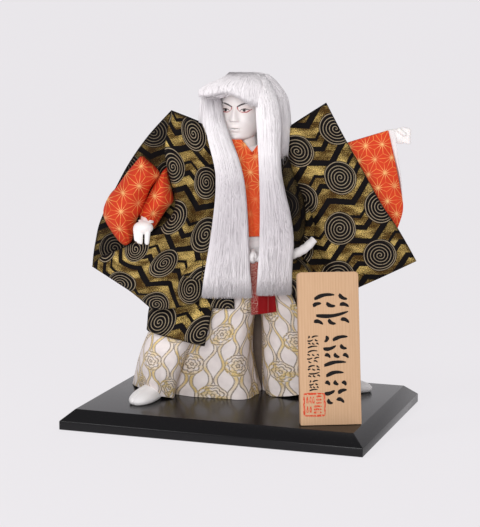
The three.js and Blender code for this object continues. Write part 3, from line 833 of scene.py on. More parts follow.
def add_value(item: bpy.types.Object, name: str, values: Array) -> None:
    """Stores one number for each vertex under a name that a material can read."""
    layer = item.data.attributes.new(name, "FLOAT", "POINT")
    layer.data.foreach_set("value", np.ascontiguousarray(values, dtype=np.float32))


def arc_spread(at: Surface, columns: int, rows: int) -> Spread:
    """Measures a surface so that a pattern keeps its size on it.

    Args:
        at: the surface.
        columns: how many steps to measure across.
        rows: how many steps to measure up.

    Returns:
        A function from (s, t) to millimetres across, from the middle, and up.
    """
    steps = np.linspace(0, 1, columns + 1), np.linspace(0, 1, rows + 1)
    grid = np.stack(at(*np.meshgrid(*steps)), axis=-1)
    gaps = [np.linalg.norm(np.diff(grid, axis=1 - k), axis=-1).mean(axis=k) for k in (0, 1)]
    across, up = (np.append(0.0, np.cumsum(gap)) for gap in gaps)
    return lambda s, t: (np.interp(s, steps[0], across) - across[-1] / 2, np.interp(t, steps[1], up))


def flat_spread(at: Surface, u0: float = 0.0, z0: float = 0.0) -> Spread:
    """Returns cloth coordinates that are the surface's own u and z, counted from (u0, z0)."""

    def spread(s: Array, t: Array) -> tuple[Array, Array]:
        """Returns u and z."""
        u, _, z = at(s, t)
        return u - u0, z - z0

    return spread


def lattice_spread(at: Surface, discs: Sequence[Sequence[float]], lean: float) -> Spread:
    """Lays a brocade on a surface so that each listed disc falls on its place.

    Args:
        at: the surface.
        discs: rows of a disc's column and row in the lattice, and its u and z.
        lean: the side to which the lattice climbs, 1 or -1.

    Returns:
        The cloth coordinates, millimetres from the lattice's first disc.
    """
    table = np.array(discs, dtype=float)
    pins, one = table[:, 2:], np.ones((len(table), 1))
    goals = np.stack([lean * RUN * table[:, 0], CLIMB * table[:, 0] - ROW * table[:, 1]], axis=-1)

    def bend(a: Array) -> Array:
        """Returns how a thin plate pulled at each pin bends at each of a."""
        gap = ((a[:, None] - pins[None]) ** 2).sum(axis=-1)
        return gap * np.log(gap + NOTHING)

    flat = np.hstack([pins, one])
    system = np.block([[bend(pins), flat], [flat.T, np.zeros((3, 3))]])
    pull = np.linalg.solve(system, np.vstack([goals, np.zeros((3, 2))]))

    def spread(s: Array, t: Array) -> tuple[Array, Array]:
        """Returns the lattice coordinates."""
        u, _, z = at(s, t)
        here = np.stack([u, z, np.ones_like(u)], axis=-1)
        return tuple((bend(here[:, :2]) @ pull[:-3] + here @ pull[-3:]).T)

    return spread


def plain_discs(u: float, z: float, lean: float) -> list[tuple]:
    """Returns the discs of an unbent lattice whose first one is at (u, z)."""
    return [(0, 0, u, z), (1, 0, u + lean * RUN, z + CLIMB), (0, 1, u, z - ROW)]


def cloth_piece(
    name: str, size: tuple[int, int], at: Surface, spread: Optional[Spread] = None, wrap: bool = False
) -> bpy.types.Object:
    """Models a surface from a grid whose points are moved to their places.

    Args:
        name: the piece's name.
        size: faces across and faces up.
        at: gives u, v, z in millimetres for s across and t up, both from 0 to 1.
        spread: gives the cloth coordinates, or None to measure the surface.
        wrap: whether the left and right edges meet, and the ends are closed.

    Returns:
        The piece.
    """
    item = flat_grid(name, *size)
    while item.data.uv_layers:
        item.data.uv_layers.remove(item.data.uv_layers[0])
    s, t = ((places_of(item)[:, :2] + 1.0) / 2.0).T
    put_places(item, to_world(*at(s, t)))
    write_cloth(item, np.stack((spread or arc_spread(at, *size))(s, t), axis=-1))
    inset = np.minimum(np.minimum(s, 1 - s) * size[0], np.minimum(t, 1 - t) * size[1])
    add_value(item, "hem", np.exp(-inset))
    if wrap:
        closed(item)
    return item


def closed(item: bpy.types.Object, fill: bool = True) -> None:
    """Merges doubles, fills open ends if asked and turns the faces outwards."""
    only(item)
    bpy.ops.object.mode_set(mode="EDIT")
    bpy.ops.mesh.select_all(action="SELECT")
    bpy.ops.mesh.remove_doubles(threshold=2e-6)
    if fill:
        bpy.ops.mesh.select_all(action="SELECT")
        bpy.ops.mesh.fill_holes(sides=0)
    bpy.ops.mesh.select_all(action="SELECT")
    bpy.ops.mesh.normals_make_consistent(inside=False)
    bpy.ops.object.mode_set(mode="OBJECT")


def joined(name: str, items: Sequence[bpy.types.Object]) -> bpy.types.Object:
    """Joins pieces into one that is called name."""
    only(*items)
    if len(items) > 1:
        bpy.ops.object.join()
    items[0].name = items[0].data.name = name
    return items[0]


def dressed(
    item: bpy.types.Object, material: bpy.types.Material, slot: Slot, *nodes: str, smooth_to: float = 40.0
) -> None:
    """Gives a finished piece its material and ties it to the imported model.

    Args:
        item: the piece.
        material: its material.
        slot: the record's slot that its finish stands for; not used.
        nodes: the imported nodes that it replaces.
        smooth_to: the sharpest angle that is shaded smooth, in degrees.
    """
    item.data.materials.clear()
    item.data.materials.append(material)
    only(item)
    bpy.ops.object.shade_smooth_by_angle(angle=math.radians(smooth_to))
    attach(item, "root")
    if nodes:
        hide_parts(*nodes)
    LOG.info("%s: %d faces", item.name, len(item.data.polygons))


def smooth_route(points: Sequence[Sequence[float]], steps: int) -> Array:
    """Returns points on a smooth curve through the given ones."""
    return np.stack(through(points, np.linspace(0, 1, steps + 1)), axis=-1)


def tube(name: str, route: Array, radii: Array, sides: int) -> bpy.types.Object:
    """Models a closed tube along a route in doll millimetres.

    Args:
        name: the piece's name.
        route: the points that its middle follows.
        radii: its radius at each point.
        sides: how many faces go round it.

    Returns:
        The piece.
    """
    steps = len(route) - 1
    forward = np.gradient(route, axis=0)
    if np.allclose(route[0], route[-1]):
        forward[0] = forward[-1] = route[1] - route[-2]
    forward /= np.linalg.norm(forward, axis=1, keepdims=True)
    side = np.cross(forward, (0.0, 0.0, 1.0))
    lost = np.linalg.norm(side, axis=1) < 0.15
    side[lost] = np.cross(forward[lost], (0.0, 1.0, 0.0))
    side /= np.linalg.norm(side, axis=1, keepdims=True)
    other = np.cross(side, forward)

    def at(s: Array, t: Array) -> Places:
        """Returns a place on the tube."""
        row = np.rint(t * steps).astype(int)
        cosine, sine = np.cos(TAU * s)[..., None], np.sin(TAU * s)[..., None]
        place = route[row] + radii[row][..., None] * (cosine * side[row] + sine * other[row])
        return place[..., 0], place[..., 1], place[..., 2]

    return cloth_piece(name, (sides, steps), at, wrap=True)


# Studio


@dataclass
class Studio:
    """The camera, the soft lights and the pale paper backdrop."""

    camera_place: tuple = (0.54472, -1.61170, 0.44219)
    camera_aim: tuple = (-0.0265, 0.0653, 0.1400)
    lens: float = 121.1
    sensor: float = 36.0
    clip: tuple = (0.05, 30.0)
    paper: tuple = (0.77, 0.75, 0.775)
    glow: float = 0.97
    bounce: float = 0.16
    air: float = 0.30
    air_tone: tuple = (1.0, 0.98, 1.0, 1.0)
    lit_place: tuple = (0.0, 0.0, 0.15)
    lights: tuple = (
        ("key_light", (-1.35, -1.5, 1.7), 0.9, 14.0),
        ("front_light", (0.35, -2.0, 0.75), 0.9, 23.5),
        ("fill_light", (1.9, -1.2, 1.0), 1.6, 5.0),
        ("top_light", (0.1, 0.7, 2.2), 1.4, 5.0),
    )
    floor_size: tuple = (4.0, 3.8)
    floor_offset: float = 0.8
    floor_drop: float = 0.0005
    turned_up_at: float = 1.6

    def add_camera(self) -> None:
        """Adds the camera at the photograph's viewing angle."""
        bpy.ops.object.camera_add(location=self.camera_place)
        camera = bpy.context.active_object
        aim = Vector(self.camera_aim) - Vector(self.camera_place)
        camera.rotation_euler = aim.to_track_quat("-Z", "Y").to_euler()
        camera.data.lens, camera.data.sensor_width = self.lens, self.sensor
        camera.data.clip_start, camera.data.clip_end = self.clip
        bpy.context.scene.camera = camera

    def build(self) -> None:
        """Adds the backdrop and the lights."""
        self._backdrop()
        world = bpy.data.worlds.new("studio_air")
        world.use_nodes = True
        air = world.node_tree.nodes["Background"].inputs
        air["Color"].default_value, air["Strength"].default_value = self.air_tone, self.air
        bpy.context.scene.world = world
        for name, place, size, watts in self.lights:
            bpy.ops.object.light_add(type="AREA", location=place)
            light = bpy.context.active_object
            light.name, light.data.energy, light.data.size = name, watts, size
            aim = Vector(self.lit_place) - Vector(place)
            light.rotation_euler = aim.to_track_quat("-Z", "Y").to_euler()
        bpy.context.scene.view_settings.view_transform = "Standard"

    def _backdrop(self) -> None:
        """Adds a floor that curves up into a wall behind."""
        floor = flat_grid("backdrop", 2, 40)
        wide, deep = self.floor_size
        across, along = places_of(floor)[:, 0] * wide, places_of(floor)[:, 1] * deep + self.floor_offset
        angle = np.clip(along - self.turned_up_at, 0.0, PI / 2)
        back = np.minimum(along, self.turned_up_at) + np.sin(angle)
        rise = 1 - np.cos(angle) + np.maximum(along - self.turned_up_at - PI / 2, 0.0)
        x, y = turned(across, back, FACING)
        put_places(floor, np.stack([x, y, rise - self.floor_drop], axis=-1))
        g = Graph("paper_backdrop")
        grain = g.noise(g.place(), 0.6, 1.0).ramp(0.2, 0.8)
        bounce = tuple(self.bounce * c for c in self.paper)
        glow = g.tint(grain, self.paper, tuple(0.985 * c for c in self.paper))
        matt = dict(Base_Color=bounce, Roughness=0.95, Specular_IOR_Level=0.0)
        floor.data.materials.append(g.finish(**matt, Emission_Color=glow, Emission_Strength=self.glow))
        only(floor)
        bpy.ops.object.shade_smooth()


# Plinth and name board


@dataclass
class Plinth:
    """A black lacquered board with a broad slope round its top."""

    width: float = 300.0
    depth: float = 218.3
    side: float = 8.4
    rise: float = 10.2
    slope: float = 12.0
    edge: float = 0.5

    def build(self) -> None:
        """Models the board and dresses it."""
        only()
        bpy.ops.mesh.primitive_cube_add(size=1.0, location=(0, 0, self.side * MM / 2))
        bpy.context.active_object.scale = (self.width * MM, self.depth * MM, self.side * MM)
        board = made("lacquered_plinth")
        picked(board, "FACE", lambda face: face.normal.z > 0.9)
        bpy.ops.mesh.inset(thickness=self.slope * MM, depth=0.0, use_even_offset=True)
        bpy.ops.transform.translate(value=(0, 0, self.rise * MM))
        bpy.ops.object.mode_set(mode="OBJECT")
        softened(board, self.edge * MM, 3, 0.3)
        dressed(board, Lacquer().make(), Slot.LACQUER, "plinth", smooth_to=25.0)


Dash = tuple[float, float, float, float, float]

DASH_GROUPS: tuple[tuple[Dash, ...], ...] = (
    (
        (0.06, 0.84, 0.60, 0.97, 0.05), (0.72, 0.98, 0.94, 0.82, -0.03), (0.02, 0.62, 0.24, 0.70, 0.02),
        (0.38, 0.70, 0.62, 0.60, -0.03), (0.74, 0.66, 0.98, 0.58, 0.03), (0.10, 0.30, 0.96, 0.42, -0.06),
        (0.04, 0.12, 0.28, 0.02, 0.03), (0.42, 0.16, 0.62, 0.02, -0.03), (0.76, 0.18, 0.98, 0.06, 0.03),
    ),
    (
        (0.20, 1.00, 0.10, 0.80, 0.04), (0.40, 0.86, 0.96, 0.97, 0.05), (0.04, 0.58, 0.52, 0.68, -0.05),
        (0.68, 0.70, 0.92, 0.58, -0.04), (0.10, 0.40, 0.30, 0.30, 0.03), (0.44, 0.42, 0.64, 0.30, -0.03),
        (0.78, 0.40, 0.98, 0.28, 0.03), (0.06, 0.04, 0.88, 0.14, 0.06),
    ),
    (
        (0.10, 0.88, 0.86, 0.98, 0.08), (0.06, 0.70, 0.26, 0.60, 0.03), (0.44, 0.72, 0.62, 0.60, -0.03),
        (0.80, 0.70, 0.96, 0.58, 0.03), (0.02, 0.32, 0.46, 0.42, -0.04), (0.60, 0.34, 0.98, 0.44, 0.04),
        (0.14, 0.14, 0.36, 0.02, -0.05), (0.54, 0.16, 0.86, 0.04, 0.05),
    ),
)


@dataclass
class NameBoard:
    """A leaning softwood board with rows of brush dashes and a red stamp, and a strut behind."""

    width: float = 57.0
    height: float = 142.0
    thickness: float = 10.0
    corner_radius: float = 3.6
    edge: float = 0.8
    corner: tuple = (85.5, -89.3)
    turn: float = math.radians(24.25)
    lean: float = math.radians(12.3)
    strut_width: float = 16.0
    strut_reach: float = 35.0
    strut_height: float = 70.0
    strut_tip: float = 5.0
    strut_edge: float = 0.6
    ink_height: float = 0.12
    ink_thickness: float = 0.1
    bar_width: float = 2.2
    bar_bow: float = 0.15
    columns: tuple = (
        (13.0, 93.0, 35.0, 28.5, 4.2, 0), (21.5, 54.0, 25.0, 28.5, 4.0, 1), (22.5, 19.5, 21.5, 29.5, 4.2, 2),
        (7.4, 71.5, 11.0, 11.5, 1.7, 1), (6.8, 58.0, 12.0, 11.0, 1.6, 2), (7.4, 44.6, 11.8, 11.0, 1.7, 0),
        (8.2, 31.8, 9.4, 10.0, 1.6, 1),
    )
    stamp: tuple = (3.6, 9.2, 19.0, 20.0)

    def stand(self, along: Array, behind: Array, z: Array) -> Array:
        """Turns millimetres along and behind the board and up into metres in the model's frame."""
        x, y = turned(along, behind, self.turn)
        return np.stack([x + self.corner[0], y + self.corner[1], z + FLOOR], axis=-1) * MM

    def leant(self, along: Array, behind: Array, up: Array) -> Array:
        """Turns millimetres in the leaning board's own directions into metres."""
        back, z = turned(behind, up, -self.lean)
        return self.stand(along, back, z)

    def build(self) -> None:
        """Models the board, its strut, its dashes and its stamp."""
        board = joined("wooden_name_board", [self._slab(), self._strut()])
        x, y, z = (places_of(board) / MM).T
        along, back = turned(x - self.corner[0], y - self.corner[1], -self.turn)
        behind, up = turned(back, z - FLOOR, self.lean)
        write_cloth(board, np.stack([along + 0.9 * behind, up], axis=-1))
        dressed(board, BoardWood().make(), Slot.BOARD_WOOD, "name_board", smooth_to=30.0)
        dashes = []
        for left, low, width, height, heavy, group in self.columns:
            for ax, ay, bx, by, bow in DASH_GROUPS[group]:
                start, end = (left + ax * width, low + ay * height), (left + bx * width, low + by * height)
                dashes.append(self._dash(start, end, bow * width, heavy))
        dressed(joined("brush_dashes", dashes), Ink().make(), Slot.BOARD_WOOD)
        red = Ink("stamp_red", (0.62, 0.062, 0.025), (0.68, 0.36, 0.22), 0.5)
        dressed(joined("red_stamp", self._stamp()), red.make(), Slot.BOARD_WOOD)

    def _slab(self) -> bpy.types.Object:
        """Models the board itself, upper corners rounded, and leans it."""
        slab = block("slab")
        put_places(slab, (places_of(slab) + 0.5) * np.array([self.width, self.thickness, self.height]))
        points = places_of(slab)

        def corner(edge: bpy.types.MeshEdge) -> bool:
            """Returns whether an edge is one of the two upper corners."""
            a, b = points[edge.vertices[0]], points[edge.vertices[1]]
            return bool(abs(a[1] - b[1]) > 1.0 and min(a[2], b[2]) > self.height - 1.0)

        picked(slab, "EDGE", corner)
        bpy.ops.mesh.bevel(offset=self.corner_radius, segments=6)
        bpy.ops.object.mode_set(mode="OBJECT")
        softened(slab, self.edge, 3, 0.6)
        along, behind, up = places_of(slab).T
        foot = np.where(up < 1.0, behind * math.tan(self.lean), 0.0)
        put_places(slab, self.leant(along, behind, up + foot))
        return slab

    def _strut(self) -> bpy.types.Object:
        """Models the wedge behind the board that keeps it leaning."""
        strut = block("strut")
        across, depth, up = (places_of(strut) + 0.5).T
        along = (self.width - self.strut_width) / 2 + across * self.strut_width
        back = self.thickness / math.cos(self.lean) - 1.0 + up * self.strut_height * math.tan(self.lean)
        behind = back + depth * mix(self.strut_reach, self.strut_tip, up)
        put_places(strut, self.stand(along, behind, up * self.strut_height))
        return softened(strut, self.strut_edge * MM, 2, 0.6)

    def _dash(self, start: tuple, end: tuple, bow: float, heavy: float) -> bpy.types.Object:
        """Models one brush dash, broad where the brush lands and thin where it leaves.

        Args:
            start: where it begins, along and up the board.
            end: where it ends.
            bow: how far its middle swings out.
            heavy: the brush's width.

        Returns:
            The piece.
        """
        first, last = np.array(start), np.array(end)
        forward = (last - first) / np.linalg.norm(last - first)
        side = np.array([-forward[1], forward[0]])
        item = flat_grid("dash", 4, 14)
        across, t = places_of(item)[:, 0], (places_of(item)[:, 1] + 1.0) / 2.0
        waist = 1.0 - 0.2 * bump(t, 0.55, 0.22)
        width = heavy * 0.5 * (1.15 - 0.4 * t) * hill(t, 0.45, 0.06, 0.98) * waist
        reach = (bow * np.sin(PI * t) + across * width)[:, None]
        along, up = (first + (last - first) * t[:, None] + side * reach).T
        put_places(item, self.leant(along, -self.ink_height * (1.0 - 0.5 * across**4), up))
        return thickened(item, self.ink_thickness)

    def _stamp(self) -> list[bpy.types.Object]:
        """Models the red stamp, a square frame filled with short upright and level bars."""
        corner, span = np.array(self.stamp).reshape(2, 2)
        bars = [(0, 0, 0, 1), (0, 1, 1, 1), (1, 1, 1, 0), (1, 0, 0, 0)]
        bars += [(x, 0.14, x, 0.44) for x in (0.16, 0.32)] + [(x, 0.56, x, 0.88) for x in (0.16, 0.32, 0.46)]
        bars += [(0.46, z, 0.86, z) for z in (0.14, 0.28, 0.42)]
        bars += [(0.60, z, 0.86, z) for z in (0.58, 0.73, 0.88)]
        ends = [(corner + span * bar[:2], corner + span * bar[2:]) for bar in bars]
        return [self._dash(start, end, self.bar_bow, self.bar_width) for start, end in ends]


# Robe


def edges(*corners: Sequence[Sequence[float]]) -> list[tuple]:
    """Pairs the points of a left edge with those of a right edge."""
    return [(*left, *right) for left, right in zip(*corners)]


RIGHT_BODY_EDGE = (
    (-90, 112), (-68, 114), (-46, 120), (-33, 138), (-28, 165), (-28, 200), (-28, 238), (-30, 262),
    (-35, 287),
)
RIGHT_BACK_EDGE = (
    (-148, 150), (-147, 160), (-145, 172), (-141, 190), (-133, 209), (-124, 227), (-110, 252), (-92, 277),
    (-70, 301),
)
RIGHT_MOUTH_EDGE = (
    (-148, 150), (-139, 160), (-114, 171), (-86, 186), (-69, 203), (-67, 220), (-74, 247), (-76, 268),
    (-70, 301),
)
LEFT_BODY_EDGE = ((72, 116), (58, 135), (48, 160), (44, 190), (42, 220), (40, 252), (40, 283))
LEFT_FREE_EDGE = ((90, 118), (80, 147), (69, 172), (67, 195), (55, 222), (44, 250), (40, 283))
LEFT_MOUTH_EDGE = ((168, 154), (158, 172), (147, 190), (131, 214), (112, 248), (97, 274), (79, 308))

RIGHT_DISCS = (
    (0, 0, -36.2, 234.0), (0, 1, -37.1, 183.3), (0, -1, -48.7, 279.6), (1, 0, -68.2, 248.2),
    (1, 1, -68.5, 200.0), (1, 2, -77.1, 155.9), (0, 2, -52.3, 131.4), (1, 3, -84.1, 117.5),
    (2, 2, -104.8, 168.1), (2, 3, -121.0, 133.0), (3, 3, -133.3, 174.1),
)
RIGHT_BACK_DISCS = ((0, 0, -86.9, 280.4), (1, 1, -114.3, 244.9), (0, 1, -71.2, 237.2))
LEFT_DISCS = (
    (0, 0, 92.4, 236.9), (0, 1, 92.3, 187.3), (0, -1, 87.8, 283.6), (1, 1, 131.7, 209.1),
    (1, 2, 131.7, 161.2), (-1, 0, 56.1, 215.7), (-1, -1, 51.0, 262.1), (0, 2, 91.6, 139.9),
)
RIGHT_FLAP_DISCS = ((0, 0, -82.2, 98.3), (-1, 0, -40.9, 89.0), (0, 1, -82.6, 50.4))


@dataclass
class Kimono:
    """The brocade robe: a body, two stiff wide sleeves of two layers each, a skirt and its flaps."""

    cloth: float = 1.3
    hem: float = 0.35
    body_levels: tuple = (
        (10, 11, 159, 46, 26, 2.4), (9, 10, 200, 50, 25, 2.4), (4, 10, 248, 45, 18, 2.4),
        (4, 9, 261, 36, 13, 2.3), (4, 8, 267, 21, 9, 2.0),
    )
    skirt_levels: tuple = (
        (5, 10, 84, 99, 40, 2.6), (5, 9, 112, 93, 37, 2.5), (6, 9, 140, 66, 33, 2.4),
        (6, 10, 165, 44, 29, 2.3),
    )
    skirt_half_turn: float = math.radians(152.0)
    right_flap: tuple = (
        (-94, 89, -38, 76), (-92, 112, -31, 110), (-78, 134, -28, 132), (-52, 158, -24, 160),
    )
    inner_flap: tuple = ((-44, 113, -9, 112), (-40, 158, -12, 160))
    left_flap: tuple = ((62, 82, 100, 90), (52, 114, 96, 116), (45, 136, 72, 136), (38, 158, 52, 158))

    def build(self) -> None:
        """Models the robe's pieces and dresses them."""
        right, left = Brocade("brocade_right", lean=-1.0).make(), Brocade("brocade_left").make()
        # The sleeve's back layer and the robe's body wear darker copies of the brocade: painted shade
        inside = Brocade("brocade_inside_shaded", lean=-1.0, painted_dimming=0.5).make()
        shaded = Brocade("brocade_shaded", painted_dimming=0.14).make()
        for name, size, at, discs, lean, material, offset in (
            ("right_sleeve_front", (76, 100), self._right_front, RIGHT_DISCS, -1.0, right, -1.0),
            ("right_sleeve_back", (56, 64), self._right_back, RIGHT_BACK_DISCS, -1.0, inside, -1.0),
            ("left_sleeve_front", (66, 90), self._left_front, LEFT_DISCS, 1.0, left, -1.0),
            ("left_sleeve_back", (56, 64), self._left_back, plain_discs(92, 237, 1.0), 1.0, left, 1.0),
            ("right_flap", (50, 50), self._right_flap, RIGHT_FLAP_DISCS, -1.0, right, -1.0),
            ("inner_flap", (30, 40), self._inner_flap, plain_discs(-16.4, 111.7, -1.0), -1.0, right, -1.0),
            ("left_flap", (40, 50), self._left_flap, plain_discs(80, 100, 1.0), 1.0, left, -1.0),
        ):
            item = cloth_piece(name, size, at, lattice_spread(at, discs, lean))
            dressed(self._sewn(item, offset), material, Slot.BROCADE, "kimono")
        dressed(cloth_piece("robe_body", (150, 60), self._body, wrap=True), shaded, Slot.BROCADE, "kimono")
        dressed(self._sewn(cloth_piece("robe_skirt", (120, 40), self._skirt)), left, Slot.BROCADE, "kimono")

    def _sewn(self, item: bpy.types.Object, offset: float = -1.0) -> bpy.types.Object:
        """Gives a cloth surface its thickness and a soft turned edge."""
        return softened(thickened(item, self.cloth, offset), self.hem * MM, 2, 0.9)

    def _right_front(self, s: Array, t: Array) -> Places:
        """Returns a place on the right sleeve's front layer, whose lower corner hangs over the skirt."""
        u, z = between(edges(RIGHT_MOUTH_EDGE, RIGHT_BODY_EDGE), s, t)
        belly = hill(t, 0.5, 0.02, 0.97)
        swell = mix(0.80, 1.0, hill(s, 0.7, 0.12, 0.9))
        fold = 1.5 * np.sin(TAU * (1.4 * s + 0.9 * t)) * belly
        pleat = 2.6 * bump(u + 0.12 * (z - 240), -50.0, 6.0) * smooth((t - 0.35) / 0.3)
        lip = 3.0 * smooth((0.10 - s) / 0.10) * belly
        v = -2.0 - 17.0 * belly * swell + fold + pleat + lip
        over = smooth((150.0 - z) / 28.0) * smooth((u + 116.0) / 40.0)
        return u, mix(v, np.minimum(v, -33.0), over), z

    def _right_back(self, s: Array, t: Array) -> Places:
        """Returns a place on the right sleeve's back layer."""
        u, z = between(edges(RIGHT_BACK_EDGE, RIGHT_BODY_EDGE), s, t)
        belly = np.sin(PI * t) * hill(s, 1.0, 0.05, 0.95)
        return u, 3.0 + (4.0 + 1.4 * np.sin(TAU * (1.7 * s - 0.6 * t))) * belly, z

    def _left_front(self, s: Array, t: Array) -> Places:
        """Returns a place on the left sleeve's front layer."""
        u, z = between(edges(LEFT_FREE_EDGE, LEFT_MOUTH_EDGE), s, t)
        belly = hill(t, 0.5, 0.04, 0.96)
        swell = mix(0.75, 1.0, hill(s, 0.8))
        fold = 1.5 * np.sin(TAU * (1.3 * s - 0.8 * t)) * belly
        dent = 3.5 * bump((u - 100) * 0.5 + (z - 262) * 0.86, 0.0, 9.0) * smooth((s - 0.35) / 0.5)
        return u, 4.0 - 13.0 * belly * swell + fold + dent + 5.0 * smooth((0.10 - s) / 0.10), z

    def _left_back(self, s: Array, t: Array) -> Places:
        """Returns a place on the left sleeve's back layer."""
        u, z = between(edges(LEFT_BODY_EDGE, LEFT_MOUTH_EDGE), s, t)
        belly = hill(t, 0.5, 0.04, 0.96) * mix(0.5, 1.0, np.sin(PI * s))
        return u, 6.0 + (11.0 + 1.4 * np.sin(TAU * (1.5 * s + 0.7 * t))) * belly, z

    def _body(self, s: Array, t: Array) -> Places:
        """Returns a place on the body, with upright pleats beside the locks."""
        u, v, z, width, depth, boxy = through(self.body_levels, t)
        angle = TAU * s - PI / 2
        x, y = oval(angle, width, depth, boxy)
        pleat = 1.0 + 0.030 * np.sin(21 * angle + 1.5 * np.sin(3 * t)) * hill(np.clip(t, 0.02, 0.9), 1.0)
        return u + x * pleat, v + y * pleat, z

    def _skirt(self, s: Array, t: Array) -> Places:
        """Returns a place on the skirt, from its left front edge round the back to the right."""
        u, v, z, width, depth, boxy = through(self.skirt_levels, t)
        angle = PI / 2 + self.skirt_half_turn * (2 * s - 1)
        loose = 1 - smooth(t)
        x, y = oval(angle, width, depth, boxy)
        wave = 1.0 + 0.03 * loose * np.sin(9 * angle)
        return u + x * wave, v + y * wave, z + 2.0 * loose * np.sin(4 * angle)

    def _right_flap(self, s: Array, t: Array) -> Places:
        """Returns a place on the right flap."""
        u, z = between(self.right_flap, s, t)
        wave = 1.4 * np.sin(3 * PI * s) * (1 - 0.6 * t)
        return u, mix(-30.5, -23.0, smooth((z - 92) / 24)) + 12.0 * (1 - s) ** 3 - wave, z

    def _inner_flap(self, s: Array, t: Array) -> Places:
        """Returns a place on the flap behind it."""
        u, z = between(self.inner_flap, s, t)
        return u, mix(-26.0, -21.0, t) + 0.8 * np.sin(TAU * s), z

    def _left_flap(self, s: Array, t: Array) -> Places:
        """Returns a place on the left flap."""
        u, z = between(self.left_flap, s, t)
        return u, mix(-29.0, -22.0, t) + 12.0 * s**3 - 1.4 * np.sin(TAU * s) * (1 - t), z


# Under-robe, collar and waist


@dataclass
class Puff:
    """A padded sleeve's closed form between two edges, flat behind and full in front."""

    rows: Sequence[tuple]
    front: float
    full: float
    back: float
    back_full: float = 0.0
    ripple: float = 1.0

    def at(self, s: Array, t: Array) -> Places:
        """Goes across the front for s up to a half and back behind."""
        ahead = s <= 0.5
        across = np.where(ahead, 2 * s, 2 - 2 * s)
        u, z = between(self.rows, across, t)
        belly = hill(across, 0.55, 0.02, 0.98) * hill(t, 0.6, 0.05, 0.96)
        crease = np.sin(24 * across + 7 * t) * bump(t, 0.12, 0.16)
        crease += np.sin(17 * across - 5 * t) * bump(t, 0.9, 0.14)
        front = self.front + (self.ripple * crease - self.full) * belly
        return u, np.where(ahead, front, self.back + self.back_full * belly), z

    def model(self, name: str, size: tuple[int, int], u0: float, z0: float) -> bpy.types.Object:
        """Models the form, with its cloth counted from (u0, z0)."""
        return cloth_piece(name, size, self.at, flat_spread(self.at, u0, z0), wrap=True)


OUTER_LOBE = (
    (-115.7, 170.5, -108.7, 174.9), (-122.1, 175.9, -105.7, 186.1), (-132.9, 192.6, -103.7, 195.7),
    (-135.9, 204.6, -98.8, 205.4), (-130.8, 218.4, -93.9, 217.0), (-122.8, 227.7, -90.0, 226.6),
    (-112.2, 242.4, -83.2, 236.2), (-105.0, 250.6, -82.2, 243.0), (-100.2, 256.8, -97.4, 256.8),
)
INNER_LOBE = (
    (-98.9, 193.8, -86.5, 187.0), (-100.7, 202.5, -75.1, 205.4), (-94.9, 214.1, -68.1, 214.1),
    (-90.0, 224.0, -69.0, 224.0), (-84.2, 234.3, -71.8, 235.3), (-78.4, 243.0, -74.0, 246.5),
)
LEFT_UNDER_SLEEVE = (
    (138, 185, 149, 183), (122, 204, 154.8, 205), (110, 228, 150.8, 229), (98, 250, 146.2, 251),
    (90, 266, 139.4, 281),
)
LEFT_LINING = (
    (153.8, 214, 154.4, 214), (151.0, 235, 152.6, 235), (147.2, 250, 150.0, 250), (143.0, 265, 148.2, 265),
    (138.6, 281, 145.5, 281),
)


